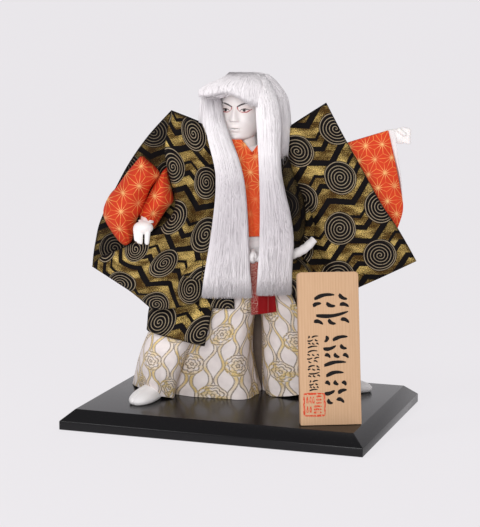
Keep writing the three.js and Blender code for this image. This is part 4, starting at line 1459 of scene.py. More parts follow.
@dataclass
class UnderRobe:
    """The orange under-robe: its chest and two padded inner sleeves, with white linings."""

    right_star: tuple = (-100.0, 231.4)
    left_star: tuple = (133.4, 268.0)
    chest_star: tuple = (5.8, 243.2)
    chest_thickness: float = 3.0
    # The chest's orange and its gold lines are brighter than the sleeves': painted light on the chest
    lit_chest_orange: tuple = (0.88, 0.105, 0.022)
    lit_chest_line: tuple = (0.98, 0.52, 0.13)
    chest_fade: float = -21.0
    right_orange: tuple = (0.62, 0.042, 0.009)
    cuff_middle: tuple = (-94.0, -20.5, 196.5)
    cuff_reach: tuple = (6.4, 5.2, 0.5)
    cuff_radius: float = 1.0

    def build(self) -> None:
        """Models the pieces and dresses them."""
        spread = flat_spread(self._chest, *self.chest_star)
        chest = cloth_piece("under_robe_chest", (60, 60), self._chest, spread)
        # A brighter copy of the orange, painted light
        stars = OrangeStars(
            "orange_chest_lit",
            side=15.0,
            turn=0.2,
            base=self.lit_chest_orange,
            fade=self.chest_fade,
            line=self.lit_chest_line,
        )
        dressed(thickened(chest, self.chest_thickness), stars.make(), Slot.ORANGE_CLOTH, "under_robe")
        lobes = [
            Puff(rows, front=-3.0, full=full, back=back).model(name, size, *self.right_star)
            for name, rows, size, full, back in (
                ("outer_lobe", OUTER_LOBE, (110, 70), 24.0, 0.5),
                ("inner_lobe", INNER_LOBE, (80, 50), 22.0, 0.8),
            )
        ]
        right = joined("right_inner_sleeve", lobes)
        stars = OrangeStars("orange_right", turn=0.43, base=self.right_orange)
        dressed(right, stars.make(), Slot.ORANGE_CLOTH, "right_under_sleeve")
        puff = Puff(LEFT_UNDER_SLEEVE, front=10.0, full=7.5, back=10.0, back_full=7.5)
        left = puff.model("left_inner_sleeve", (90, 56), *self.left_star)
        stars = OrangeStars("orange_left", side=16.0, turn=0.10)
        dressed(left, stars.make(), Slot.ORANGE_CLOTH, "left_under_sleeve")
        white = WhiteCloth("white_lining").make()
        ring = np.linspace(0, TAU, 41)
        (u, v, z), (wide, deep, tall) = self.cuff_middle, self.cuff_reach
        loop = (u + wide * np.cos(ring), v + deep * np.sin(ring), z - tall * np.cos(ring))
        cuff = tube("right_cuff_edge", np.stack(loop, axis=-1), np.full_like(ring, self.cuff_radius), 12)
        dressed(cuff, white, Slot.WHITE_CLOTH)
        lining = Puff(LEFT_LINING, front=11.0, full=1.4, back=11.6, back_full=1.0, ripple=0.2)
        dressed(lining.model("left_sleeve_lining", (24, 40), 0, 0), white, Slot.WHITE_CLOTH)

    def _chest(self, s: Array, t: Array) -> Places:
        """Returns a place on the chest, whose left front crosses the right."""
        u, z = between(((-14, 182, 26, 182), (-15, 225, 27, 225), (-14, 274, 25, 274)), s, t)
        lap = 1.6 * smooth((u - 9.0 + 12.0 * t) / 2.5)
        throat = 12.0 * t**5 * np.maximum(0.0, 1 - np.abs(u - 7.5) / 10.0)
        return u, mix(-22.0, -12.0, smooth(t)) + 1.5 * (2 * s - 1) ** 2 + lap, z - throat


@dataclass
class Collar:
    """The white inner collar, which turns down inside at the throat."""

    u: float = 5.0
    v: float = 6.0
    levels: tuple = (
        (255, 17.0, 15.2, 2, 2), (266, 15.5, 14.0, 5, 4), (276, 13.2, 12.4, 11, 6),
        (276.6, 12.0, 11.2, 11, 6), (264, 12.0, 11.0, 12, 4),
    )

    def build(self) -> None:
        """Models the collar and dresses it."""
        item = cloth_piece("inner_collar", (96, 32), self._at)
        closed(item)
        dressed(item, WhiteCloth("collar_white").make(), Slot.WHITE_CLOTH, "collar")

    def _at(self, s: Array, t: Array) -> Places:
        """Returns a place on the collar, over its rim and down inside."""
        z, width, depth, dip, lift = through(self.levels, t)
        x, y = oval(TAU * s - PI / 2, 1.0, 1.0)
        return self.u + width * x, self.v + depth * y, z + mix(-dip, lift, 0.5 + 0.5 * y)


@dataclass
class Waist:
    """The white waist band, the padded white cord with its knot, and the red satin panel."""

    cord_route: tuple = (
        (-31, -9, 171, 3.8), (-27, -18, 169, 4), (-18, -23, 165, 4), (-4, -24.5, 163, 4), (8, -25, 162, 4),
        (18, -24.5, 161, 4), (30, -23, 161, 4.2), (41, -20, 163, 4.7), (50, -17, 165, 5),
        (59, -14, 169.5, 5.2), (67.5, -11, 177.5, 5.4),
    )
    steps: int = 110
    knot_middle: tuple = (8.0, -28.0, 163.0)
    knot_reach: tuple = (2.4, 1.6, 3.6)
    knot_radius: float = 2.3
    heart_route: tuple = ((8.5, -24.5, 158.5), (7.0, -31.0, 161.0), (7.5, -31.5, 165.5), (9.0, -25.0, 168.0))
    heart_radius: float = 2.6
    band_across: tuple = (-26.0, 36.0)
    band_up: tuple = (156.0, 181.0)
    band_thickness: float = 3.0
    panel_left: tuple = (7.0, 5.1)
    panel_right: tuple = (31.0, 27.0)
    panel_foot: tuple = (106.0, 109.0)
    panel_top: float = 157.5
    panel_thickness: float = 0.9

    def build(self) -> None:
        """Models the pieces and dresses them."""
        white = WhiteCloth("waist_white", (0.88, 0.85, 0.85)).make()
        band = thickened(cloth_piece("waist_band", (50, 30), self._band), self.band_thickness)
        dressed(band, white, Slot.WHITE_CLOTH, "obi")
        cord = self._cord()
        dressed(cord, white, Slot.WHITE_CLOTH, "waist_cord")
        red = cloth_piece("red_satin_panel", (30, 44), self._panel, flat_spread(self._panel))
        dressed(thickened(red, self.panel_thickness), RedSatin().make(), Slot.RED_SATIN, "red_panel")

    def _band(self, s: Array, t: Array) -> Places:
        """Returns a place on the band, with soft folds along it."""
        fold = 0.9 * np.sin(TAU * (2.5 * t + 0.3 * s))
        return mix(*self.band_across, s), -18.5 + 6.0 * (2 * s - 1) ** 2 + fold, mix(*self.band_up, t)

    def _cord(self) -> bpy.types.Object:
        """Models the padded cord with its knot, plump between soft creases."""
        route = smooth_route(self.cord_route, self.steps)
        t = np.linspace(0, 1, self.steps + 1)
        radii = route[:, 3] * (0.95 + 0.05 * np.cos(TAU * 17 * t)) * hill(t, 0.15, 0.03, 0.97)
        rope = tube("cord_run", route[:, :3], radii, 20)
        ring = np.linspace(0, TAU, 31)
        (u, v, z), (wide, deep, tall) = self.knot_middle, self.knot_reach
        loop = (u + wide * np.cos(ring), v - deep * np.sin(2 * ring), z + tall * np.sin(ring))
        knot = tube("cord_knot", np.stack(loop, axis=-1), np.full_like(ring, self.knot_radius), 14)
        bend = smooth_route(self.heart_route, 24)
        heart = tube("cord_heart", bend, np.full(len(bend), self.heart_radius), 14)
        return joined("padded_waist_cord", [rope, knot, heart])

    def _panel(self, s: Array, t: Array) -> Places:
        """Returns a place on the satin panel that hangs below the cord."""
        u = mix(mix(*self.panel_left, t), mix(*self.panel_right, t), s)
        z = mix(mix(*self.panel_foot, s), self.panel_top, t)
        return u, -26.0 + 0.7 * np.sin(9 * s) * (1 - 0.5 * t) - 0.4 * np.sin(3 * t), z


# Trousers, feet and hands


@dataclass
class Leg:
    """One wide trouser leg: rows of u, v, z, half width, half depth, boxiness and turn."""

    name: str
    levels: tuple
    phase: float
    origin: tuple
    lift: float = 0.0
    size: tuple = (130, 80)
    lift_at: float = 1.2 * PI

    def build(self, cloth: bpy.types.Material) -> None:
        """Models the leg and dresses it."""
        measured = arc_spread(self.at, *self.size)

        def spread(s: Array, t: Array) -> tuple[Array, Array]:
            """Returns the measured cloth, counted from the leg's own origin."""
            across, up = measured(s, t)
            return across - self.origin[0], up - self.origin[1]

        leg = cloth_piece(self.name, self.size, self.at, spread, wrap=True)
        dressed(leg, cloth, Slot.FIGURED_WHITE, "hakama")

    def at(self, s: Array, t: Array) -> Places:
        """Returns a place on the leg."""
        u, v, z, width, depth, boxy, turn = through(self.levels, t)
        angle = TAU * s + PI / 2
        loose = 1 - smooth(t)
        folds = 0.020 * np.cos(7 * angle + self.phase + 0.8 * t)
        folds += 0.012 * np.cos(13 * angle - 2 * self.phase)
        folds += 0.018 * power(np.cos(5 * angle + 2 * self.phase + 0.5 * t), 4.0) * (0.4 + 0.6 * t)
        reach = 1 + folds * (0.25 + 0.75 * loose)
        x, y = turned(*oval(angle, width * reach, depth * reach, boxy), turn)
        raised = self.lift * (1 - smooth(3 * t)) * power(np.cos(angle - self.lift_at), 1.5)
        sag = 0.8 * np.sin(3 * angle + self.phase) * (1 - smooth(6 * t)) * (z > FLOOR + 0.5)
        return u + x, v + y, z + raised + sag


@dataclass
class Hakama:
    """The wide white trousers: two pleated legs, a bent outer cuff and the cloth between the legs, dark with
    painted shade.
    """

    legs: tuple = (
        Leg(
            "right_trouser_leg",
            (
                (-26, 24, FLOOR, 41, 30, 5.0, -0.28), (-26, 19, 60, 34, 31, 4.0, -0.16),
                (-17, 12, 104, 28, 31, 3.0, 0.0), (-2, 8, 135, 27, 27, 2.5, 0.0),
                (2, 6, 158, 28, 25, 2.0, 0.0),
            ),
            phase=0.0,
            origin=(7.5, 2.0),
        ),
        Leg(
            "left_trouser_leg",
            (
                (67, 29, FLOOR, 47, 30, 3.0, 0.32), (58, 20, 60, 40, 30, 3.0, 0.12),
                (45, 13, 104, 29, 29, 2.8, 0.0),
                (24, 8, 135, 27, 27, 2.5, 0.0), (10, 6, 158, 28, 25, 2.0, 0.0),
            ),
            phase=1.3,
            origin=(-20.0, 27.0),
            lift=7.0,
            lift_at=1.64 * PI,
        ),
        Leg(
            "outer_trouser_cuff",
            (
                (-90.5, 28, FLOOR, 14.5, 41, 3.0, 0.36), (-83, 14, 50, 21, 36, 2.7, 0.2),
                (-71, 6, 78, 25, 28, 2.5, 0.0), (-48, 7, 116, 26, 22, 2.3, 0.0),
                (-20, 5, 146, 20, 20, 2.0, 0.0),
            ),
            phase=2.1,
            origin=(9.5, 13.0),
            lift=4.0,
            size=(110, 72),
        ),
    )
    shade: tuple = (0.17, 0.125, 0.10)
    back_thickness: float = 3.0
    pleat_behind: float = 6.0

    def build(self) -> None:
        """Models the trousers and dresses them."""
        cloth = FiguredWhite().make()
        for leg in self.legs:
            leg.build(cloth)
        behind = thickened(cloth_piece("trouser_back_cloth", (40, 40), self._behind), self.back_thickness)
        # The cloth between the legs is coloured dark: painted shade in the gap
        dark = WhiteCloth("trouser_gap_shade", self.shade, tuple(0.6 * c for c in self.shade))
        dressed(behind, dark.make(), Slot.FIGURED_WHITE, "hakama")
        pleat = cloth_piece("trouser_back_pleat", (40, 40), self._pleat)
        dressed(pleat, cloth, Slot.FIGURED_WHITE, "hakama")

    def _pleat(self, s: Array, t: Array) -> Places:
        """Returns a place on the pleat that closes the gap behind."""
        u, v, z = self._behind(s, t)
        return u, v + self.pleat_behind, z

    def _behind(self, s: Array, t: Array) -> Places:
        """Returns a place on the shaded cloth in the gap between the legs."""
        fold = 1.2 * np.sin(TAU * (2.5 * s + 0.2 * t)) * (1 - 0.5 * t)
        return mix(-8.0, 34.0, s), mix(40.0, 28.0, t) + fold, mix(FLOOR + 0.2, 118.0, t)


@dataclass
class Sock:
    """A white split-toed sock: where its toe is, where it points and the big toe's side."""

    name: str
    node: str
    toe: tuple
    heading: float
    thumb: float
    levels: tuple = (
        (25, 0.0, 23.2, 10.6), (25, 1.2, 24.4, 12.0), (25, 3.6, 25.0, 12.8), (26.5, 6.4, 24.0, 12.2),
        (31, 9.2, 21.0, 10.5), (38, 11.2, 16.0, 8.0), (46, 12.6, 9.0, 5.0),
    )

    def build(self, white: bpy.types.Material) -> None:
        """Models the sock and dresses it."""
        dressed(cloth_piece(self.name, (80, 40), self.at, wrap=True), white, Slot.WHITE_CLOTH, self.node)

    def at(self, s: Array, t: Array) -> Places:
        """Returns a place on the sock."""
        back, z, length, width = through(self.levels, t)
        along, across = oval(TAU * s, length, width, 2.3)
        split = bump(across, 2.6 * self.thumb, 1.0) * smooth((along - 8.0) / 9.0)
        u, v = turned(along - back - 1.3 * split, across, self.heading)
        return self.toe[0] + u, self.toe[1] + v, FLOOR + z - 0.8 * split * smooth((z - 2.0) / 6.0)


@dataclass
class Hands:
    """Two small white fists, each of rounded forms that are melted together."""

    voxel: float = 0.42
    right: tuple = (
        ((-103.6, -27.0, 190), (-102.8, -29.5, 180.4), 2.7, 2.3),
        ((-100.8, -28.5, 190), (-100.4, -31.0, 178.8), 2.6, 2.3),
        ((-98.6, -28.5, 190), (-98.6, -31.2, 177.6), 2.2, 1.8),
        ((-92.0, -28.0, 191), (-92.8, -31.2, 177.6), 3.1, 2.3),
        ((-96.0, -18.5, 190), (-95.0, -9.0, 199), 4.8, 4.6),
    )
    left: tuple = (
        *(
            ((153.5 + 0.5 * i, 13.5, 281.5 - 3.6 * i), (159.5, 13.0, 280.5 - 3.8 * i), 2.7, 2.3)
            for i in range(4)
        ),
        ((150.0, 11.5, 281.0), (155.0, 10.0, 277.0), 2.5, 2.1),
        ((150.0, 17.0, 277.0), (138.0, 15.5, 276.0), 5.2, 5.0),
    )
    right_palm: tuple = ((-96.5, -25.5, 191.0), (9.6, 7.5, 6.4))
    left_palm: tuple = ((152.0, 16.5, 275.0), (8.0, 6.0, 8.0))

    def build(self) -> None:
        """Models the hands and dresses them."""
        skin = ShellWhite("hand_white", (0.90, 0.86, 0.845)).make()
        for name, node, fingers, palm in (
            ("right_doll_hand", "right_hand", self.right, self.right_palm),
            ("left_doll_hand", "left_hand", self.left, self.left_palm),
        ):
            hand = joined(name, [self._palm(*palm), *(self._finger(*finger) for finger in fingers)])
            applied(hand, "REMESH", mode="VOXEL", voxel_size=self.voxel * MM)
            applied(hand, "SMOOTH", factor=0.5, iterations=3)
            dressed(hand, skin, Slot.SHELL_WHITE, node, smooth_to=80.0)

    def _finger(self, start: tuple, end: tuple, thick: float, thin: float) -> bpy.types.Object:
        """Models one rounded finger from its knuckle to its tip."""
        a, b = np.array(start), np.array(end)
        length = np.linalg.norm(b - a)
        place = -thick + (1 - np.cos(np.linspace(0, PI, 15))) / 2 * (length + thick + thin)
        over = np.maximum(np.clip(-place / thick, 0, 1), np.clip((place - length) / thin, 0, 1))
        radii = mix(thick, thin, np.clip(place / length, 0, 1)) * np.sqrt(np.maximum(1 - over**2, 0.0016))
        return tube("finger", a + (b - a) / length * place[:, None], radii, 14)

    def _palm(self, middle: tuple, half: tuple) -> bpy.types.Object:
        """Models the rounded palm."""

        def at(s: Array, t: Array) -> Places:
            """Returns a place on the palm."""
            up = PI * (t - 0.5)
            x, y = oval(TAU * s, half[0] * np.cos(up), half[1] * np.cos(up))
            return middle[0] + x, middle[1] + y, middle[2] + half[2] * np.sin(up)

        return cloth_piece("palm", (26, 16), at, wrap=True)


# Head


def line_mask(x: Array, z: Array, points: Sequence[Sequence[float]], soft: float = 0.22) -> Array:
    """Paints a line of changing width.

    Args:
        x: the places' first coordinate.
        z: the places' second coordinate.
        points: the line's corners, each with half its width there.
        soft: how soft its edge is.

    Returns:
        1 on the line, 0 off it.
    """
    mask = np.zeros_like(x)
    for (ax, az, wide_a), (bx, bz, wide_b) in zip(points[:-1], points[1:]):
        run_x, run_z = bx - ax, bz - az
        share = np.clip(((x - ax) * run_x + (z - az) * run_z) / (run_x**2 + run_z**2), 0, 1)
        away = np.hypot(x - ax - share * run_x, z - az - share * run_z)
        mask = np.maximum(mask, smooth((mix(wide_a, wide_b, share) - away) / soft + 0.5))
    return mask


@dataclass
class Head:
    """The doll's white head: calm, even features in relief, and stage paint on top."""

    u: float = -5.0
    v: float = 5.0
    chin: float = 272.0
    height: float = 62.0
    width: float = 22.0
    front: float = 21.0
    back: float = 23.0
    turn: float = math.radians(-12.0)
    eye: float = 302.6
    brow: float = 307.0
    nose: float = 292.0
    mouth: float = 284.6
    apart: float = 9.0
    neck: tuple = (
        (4.0, 6.0, 261.0, 10.6), (2.5, 6.0, 268.0, 9.9), (1.0, 6.0, 276.0, 9.5), (-0.5, 6.0, 286.0, 9.5),
    )

    def build(self) -> None:
        """Models the head and the neck, paints the face and dresses both."""
        head = cloth_piece("doll_head", (170, 150), self._at, wrap=True)
        x, y, z = (places_of(head) / MM).T
        middle_x, middle_y = turned(self.u, self.v, FACING)
        x, y = turned(x - middle_x, y - middle_y, -FACING - self.turn)
        self._paint(head, x, z, y < -4.0)
        face = ShellWhite("face_white", painted=True).make()
        dressed(head, face, Slot.SHELL_WHITE, "head", smooth_to=60.0)
        rows = np.array(self.neck)
        neck = tube("doll_neck", rows[:, :3], rows[:, 3], 48)
        dressed(neck, ShellWhite("neck_white").make(), Slot.SHELL_WHITE, "head")

    def _relief(self, x: Array, z: Array) -> Array:
        """Returns how far each place of the face stands out, in millimetres."""
        eye, brow, nose, mouth, side = self.eye, self.brow, self.nose, self.mouth, np.abs(x)
        down = smooth((eye + 2.0 - z) / 10.5)
        bridge = smooth((z - nose + 1.0) / 1.8) * smooth((eye + 6.0 - z) / 5.0)
        height = (1.3 + 3.4 * down) * bump(x, 0.0, 1.9 + 1.3 * down) * bridge
        for away, at_x, wide, at_z, tall, amount in (
            (side, 2.9, 1.5, nose + 0.9, 1.5, 1.5), (side, self.apart - 0.6, 5.2, eye + 0.6, 3.4, -2.0),
            (side, self.apart, 3.9, eye - 0.2, 1.9, 1.5), (side, self.apart, 4.4, eye + 1.5, 0.7, 0.45),
            (side, 7.5, 5.5, brow + 0.8, 1.9, 0.9), (side, 11.5, 5.0, nose + 1.0, 5.5, 1.1),
            (x, 0.0, 4.6, mouth + 1.5, 1.3, 1.5), (x, 0.0, 3.9, mouth - 1.7, 1.4, 1.6),
            (x, 0.0, 4.8, mouth, 0.55, -0.9), (x, 0.0, 1.1, mouth + 4.0, 1.8, -0.5),
            (x, 0.0, 4.5, mouth - 4.6, 1.4, -0.8), (x, 0.0, 5.0, self.chin + 4.4, 3.2, 1.5),
        ):
            height = height + amount * bump(away, at_x, wide) * bump(z, at_z, tall)
        return height

    def _at(self, s: Array, t: Array) -> Places:
        """Returns a place on the head."""
        up = mix(t, smooth(t), 0.15)
        angle = PI / 2 + TAU * s + 0.62 * np.sin(TAU * s)
        jaw = np.sqrt(np.sin(PI * np.minimum(0.5, 0.1 + 0.85 * up)))
        dome = np.sqrt(np.maximum(0.0, 1 - np.maximum(0.0, 2 * up - 1) ** 2.4))
        under = np.sqrt(np.maximum(0.0, 1 - np.maximum(0.0, 1 - up / 0.075) ** 2))
        front = self.front * mix(0.82, 1.0, smooth(3 * up)) * dome * mix(0.35, 1.0, under) * (t > 0)
        back = self.back * mix(0.25, 1.0, smooth(2.2 * up)) * dome * under
        x, z = np.cos(angle) * self.width * jaw * dome * under, self.chin + up * self.height
        facing, behind = np.maximum(0.0, -np.sin(angle)), np.maximum(0.0, np.sin(angle))
        y = behind * back - facing * front - smooth(facing * 2.2) * self._relief(x, z) * under
        x, y = turned(x, y, self.turn)
        return self.u + x, self.v + y, z

    def _paint(self, head: bpy.types.Object, x: Array, z: Array, ahead: Array) -> None:
        """Stores the paint's masks on the head's points.

        Args:
            head: the head.
            x: distances from the face's middle.
            z: heights.
            ahead: which points are on the face.
        """
        eye, brow, mouth = self.eye, self.brow, self.mouth
        lips = ((-4.6, mouth - 0.25, 0.1), (-2.2, mouth + 0.2, 0.24), (0.0, mouth, 0.26))
        dark = 0.95 * line_mask(-np.abs(x), z, lips)
        side = np.abs(x)
        arch = (
            (2.9, brow - 1.2, 0.55), (6.5, brow + 0.8, 0.75), (10.5, brow + 2.0, 0.6),
            (14.4, brow + 2.2, 0.15),
        )
        lash = (
            (4.7, eye - 0.9, 0.2), (7.0, eye + 0.7, 0.42), (9.6, eye + 1.1, 0.48), (12.2, eye + 0.4, 0.4),
            (14.6, eye - 0.1, 0.15),
        )
        rim = ((5.0, eye - 1.4, 0.2), (8.0, eye - 2.3, 0.4), (11.5, eye - 2.0, 0.5), (15.6, eye + 0.5, 0.25))
        inner = ((2.7, brow - 1.6, 0.5), (2.9, eye + 1.2, 0.4), (4.2, eye - 0.9, 0.2))
        iris = smooth((1.35 - np.hypot(side - self.apart, z - eye + 0.35)) / 0.4 + 0.5)
        lidded = iris * smooth((eye + 1.0 - z) / 0.4 + 0.5)
        for line in (line_mask(side, z, arch), line_mask(side, z, lash), lidded):
            dark = np.maximum(dark, line)
        red = np.maximum(line_mask(side, z, rim), 0.9 * line_mask(side, z, inner))
        add_value(head, "dark_line", dark * ahead)
        add_value(head, "red_line", red * ahead)
        add_value(head, "blush", 0.22 * bump(side, 10.0, 6.5) * bump(z, eye + 0.5, 4.0) * ahead)


# Wig


@dataclass
class Strands:
    """Many thin threads in one mesh."""

    chance: np.random.Generator
    thread: float = 0.24
    shading: float = 2.2

    def model(self, name: str, routes: Array, sheltered: Optional[Array] = None) -> bpy.types.Object:
        """Models threads as thin three-sided closed tubes.

        Args:
            name: the piece's name.
            routes: for each thread, the points that it follows, in doll millimetres.
            sheltered: painted shade on each point in the fringe's shelter; below 0, a painted highlight
                where it shines.

        Returns:
            The piece.
        """
        count, points = routes.shape[:2]
        forward = np.gradient(routes, axis=1)
        forward /= np.linalg.norm(forward, axis=2, keepdims=True) + NOTHING
        side = np.cross(forward, np.array([0.0, 1.0, 0.0]))
        side /= np.linalg.norm(side, axis=2, keepdims=True) + NOTHING
        other = np.cross(side, forward)
        share = np.linspace(0, 1, points)
        taper = mix(1.0, 0.35, smooth((share - 0.8) / 0.2)) * mix(0.6, 1.0, smooth(share / 0.06))
        radius = self.thread * self.chance.uniform(0.7, 1.35, (count, 1)) * taper
        turns = np.arange(3) * TAU / 3
        corners = [
            routes + radius[..., None] * (math.cos(turn) * side + math.sin(turn) * other) for turn in turns
        ]
        places = to_world(*np.stack(corners, axis=2).reshape(-1, 3).T)
        item = self._linked(name, places, count, points)
        shaded = np.zeros((1, points)) if sheltered is None else sheltered
        # Each thread's tone is its own random shade plus the painted shade or painted highlight at its root
        tone = self.chance.random((count, 1)) + self.shading * shaded
        add_value(item, "tone", np.repeat(tone, 3))
        closed(item, fill=False)
        bpy.ops.object.shade_smooth()
        return item

    def _linked(self, name: str, places: Array, count: int, points: int) -> bpy.types.Object:
        """Joins the threads' corners by faces and closes their ends."""
        first = np.arange(count)[:, None, None] * points * 3
        corner = np.arange(3)
        a = first + (np.arange(points - 1) * 3)[None, :, None] + corner
        b = a - corner + (corner + 1) % 3
        quads = np.stack([a, a + 3, b + 3, b], axis=-1).reshape(-1, 4)
        caps = np.concatenate([first[:, 0] + corner, first[:, 0] + (points - 1) * 3 + corner[::-1]])
        loops = np.concatenate([quads.ravel(), caps.ravel()]).astype(np.int32)
        first_corners = [np.arange(len(quads)) * 4, quads.size + np.arange(len(caps)) * 3]
        starts = np.concatenate(first_corners).astype(np.int32)
        mesh = bpy.data.meshes.new(name)
        mesh.vertices.add(len(places))
        mesh.vertices.foreach_set("co", places.astype(np.float32).ravel())
        mesh.loops.add(len(loops))
        mesh.loops.foreach_set("vertex_index", loops)
        mesh.polygons.add(len(starts))
        mesh.polygons.foreach_set("loop_start", starts)
        mesh.update(calc_edges=True)
        mesh.validate()
        item = bpy.data.objects.new(name, mesh)
        bpy.context.scene.collection.objects.link(item)
        return item


@dataclass
class Lock:
    """A long sheet of hair: rows of its left edge, right edge and depth, from the bottom up."""

    name: str
    rows: tuple
    thick: float
    count: int
    steps: int
    behind: bool = False
    # Painted shade at a lock's root under the fringe; below 0, a painted highlight
    root_shade: float = 0.0
    root: tuple = (292.0, 16.0)
    overhang: float = 190.0

    def place(self, across: Array, t: Array, out: Array, around: Array) -> Places:
        """Returns a place on the sheet's skin.

        Args:
            across: 0 at its left edge, 1 at its right.
            t: 0 at its end, 1 at its root.
            out: how far it stands out from the middle.
            around: the way it faces, 0 ahead and half a turn behind.

        Returns:
            u, v and z.
        """
        left_u, left_z, right_u, right_z, v, curl = through(self.rows, t)
        z = mix(left_z, right_z, across) + np.minimum(t, 0.0) * self.overhang
        return mix(left_u, right_u, across), v + curl * (2 * across - 1) ** 2 - np.cos(around) * out, z

    def heart(self) -> bpy.types.Object:
        """Models the solid heart."""

        def at(s: Array, t: Array) -> Places:
            """Returns a place on it, round it for s from 0 to 1."""
            angle = TAU * s
            clump = 0.33 * np.sin(11 * angle + 2.2 * np.sin(4 * t)) + 0.18 * np.sin(23 * angle - 3 * t)
            out = (self.thick / 2 - 0.6) * mix(0.75, 1.0, t) + clump
            return self.place(0.5 + 0.485 * np.sin(angle), mix(0.012, 1.0, t), out, angle)

        return cloth_piece(self.name, (110, 50), at, wrap=True)

    def threads(self, strands: Strands) -> bpy.types.Object:
        """Models the threads that lie over it."""
        chance, count, each = strands.chance, self.count, (self.count, 1)
        middle, reach = (PI, PI / 2 + 0.5) if self.behind else (0.0, 1.5)
        angle = middle + chance.uniform(-reach, reach, count)
        angle = np.where(chance.random(count) < 0.8, angle, chance.uniform(0, TAU, count))
        start = 1.0 - 0.32 * chance.random(count) ** 2.2
        end = np.abs(chance.normal(0.0, 0.010, count)) - 0.004
        end += np.where(chance.random(count) < 0.2, chance.uniform(0.0, 0.5, count), 0.0)
        t = start[:, None] + (end - start)[:, None] * np.linspace(0, 1, self.steps + 1)
        wander = 0.05 * np.sin(chance.uniform(3, 7, each) * t + chance.uniform(0, TAU, each))
        around = angle[:, None] + chance.normal(0, 0.10, each) * (1 - t) + wander
        out = self.thick / 2 * mix(0.75, 1.0, t) + chance.uniform(-0.5, 0.7, each)
        u, v, z = self.place(0.5 + 0.5 * np.sin(around), t, out, around)
        fray = power(1 - t / 0.12, 1.0) * chance.normal(0, 0.9, each)
        sheltered = self.root_shade * smooth((z - self.root[0]) / self.root[1])
        return strands.model(self.name + "_threads", np.stack([u + fray, v, z], axis=-1), sheltered)


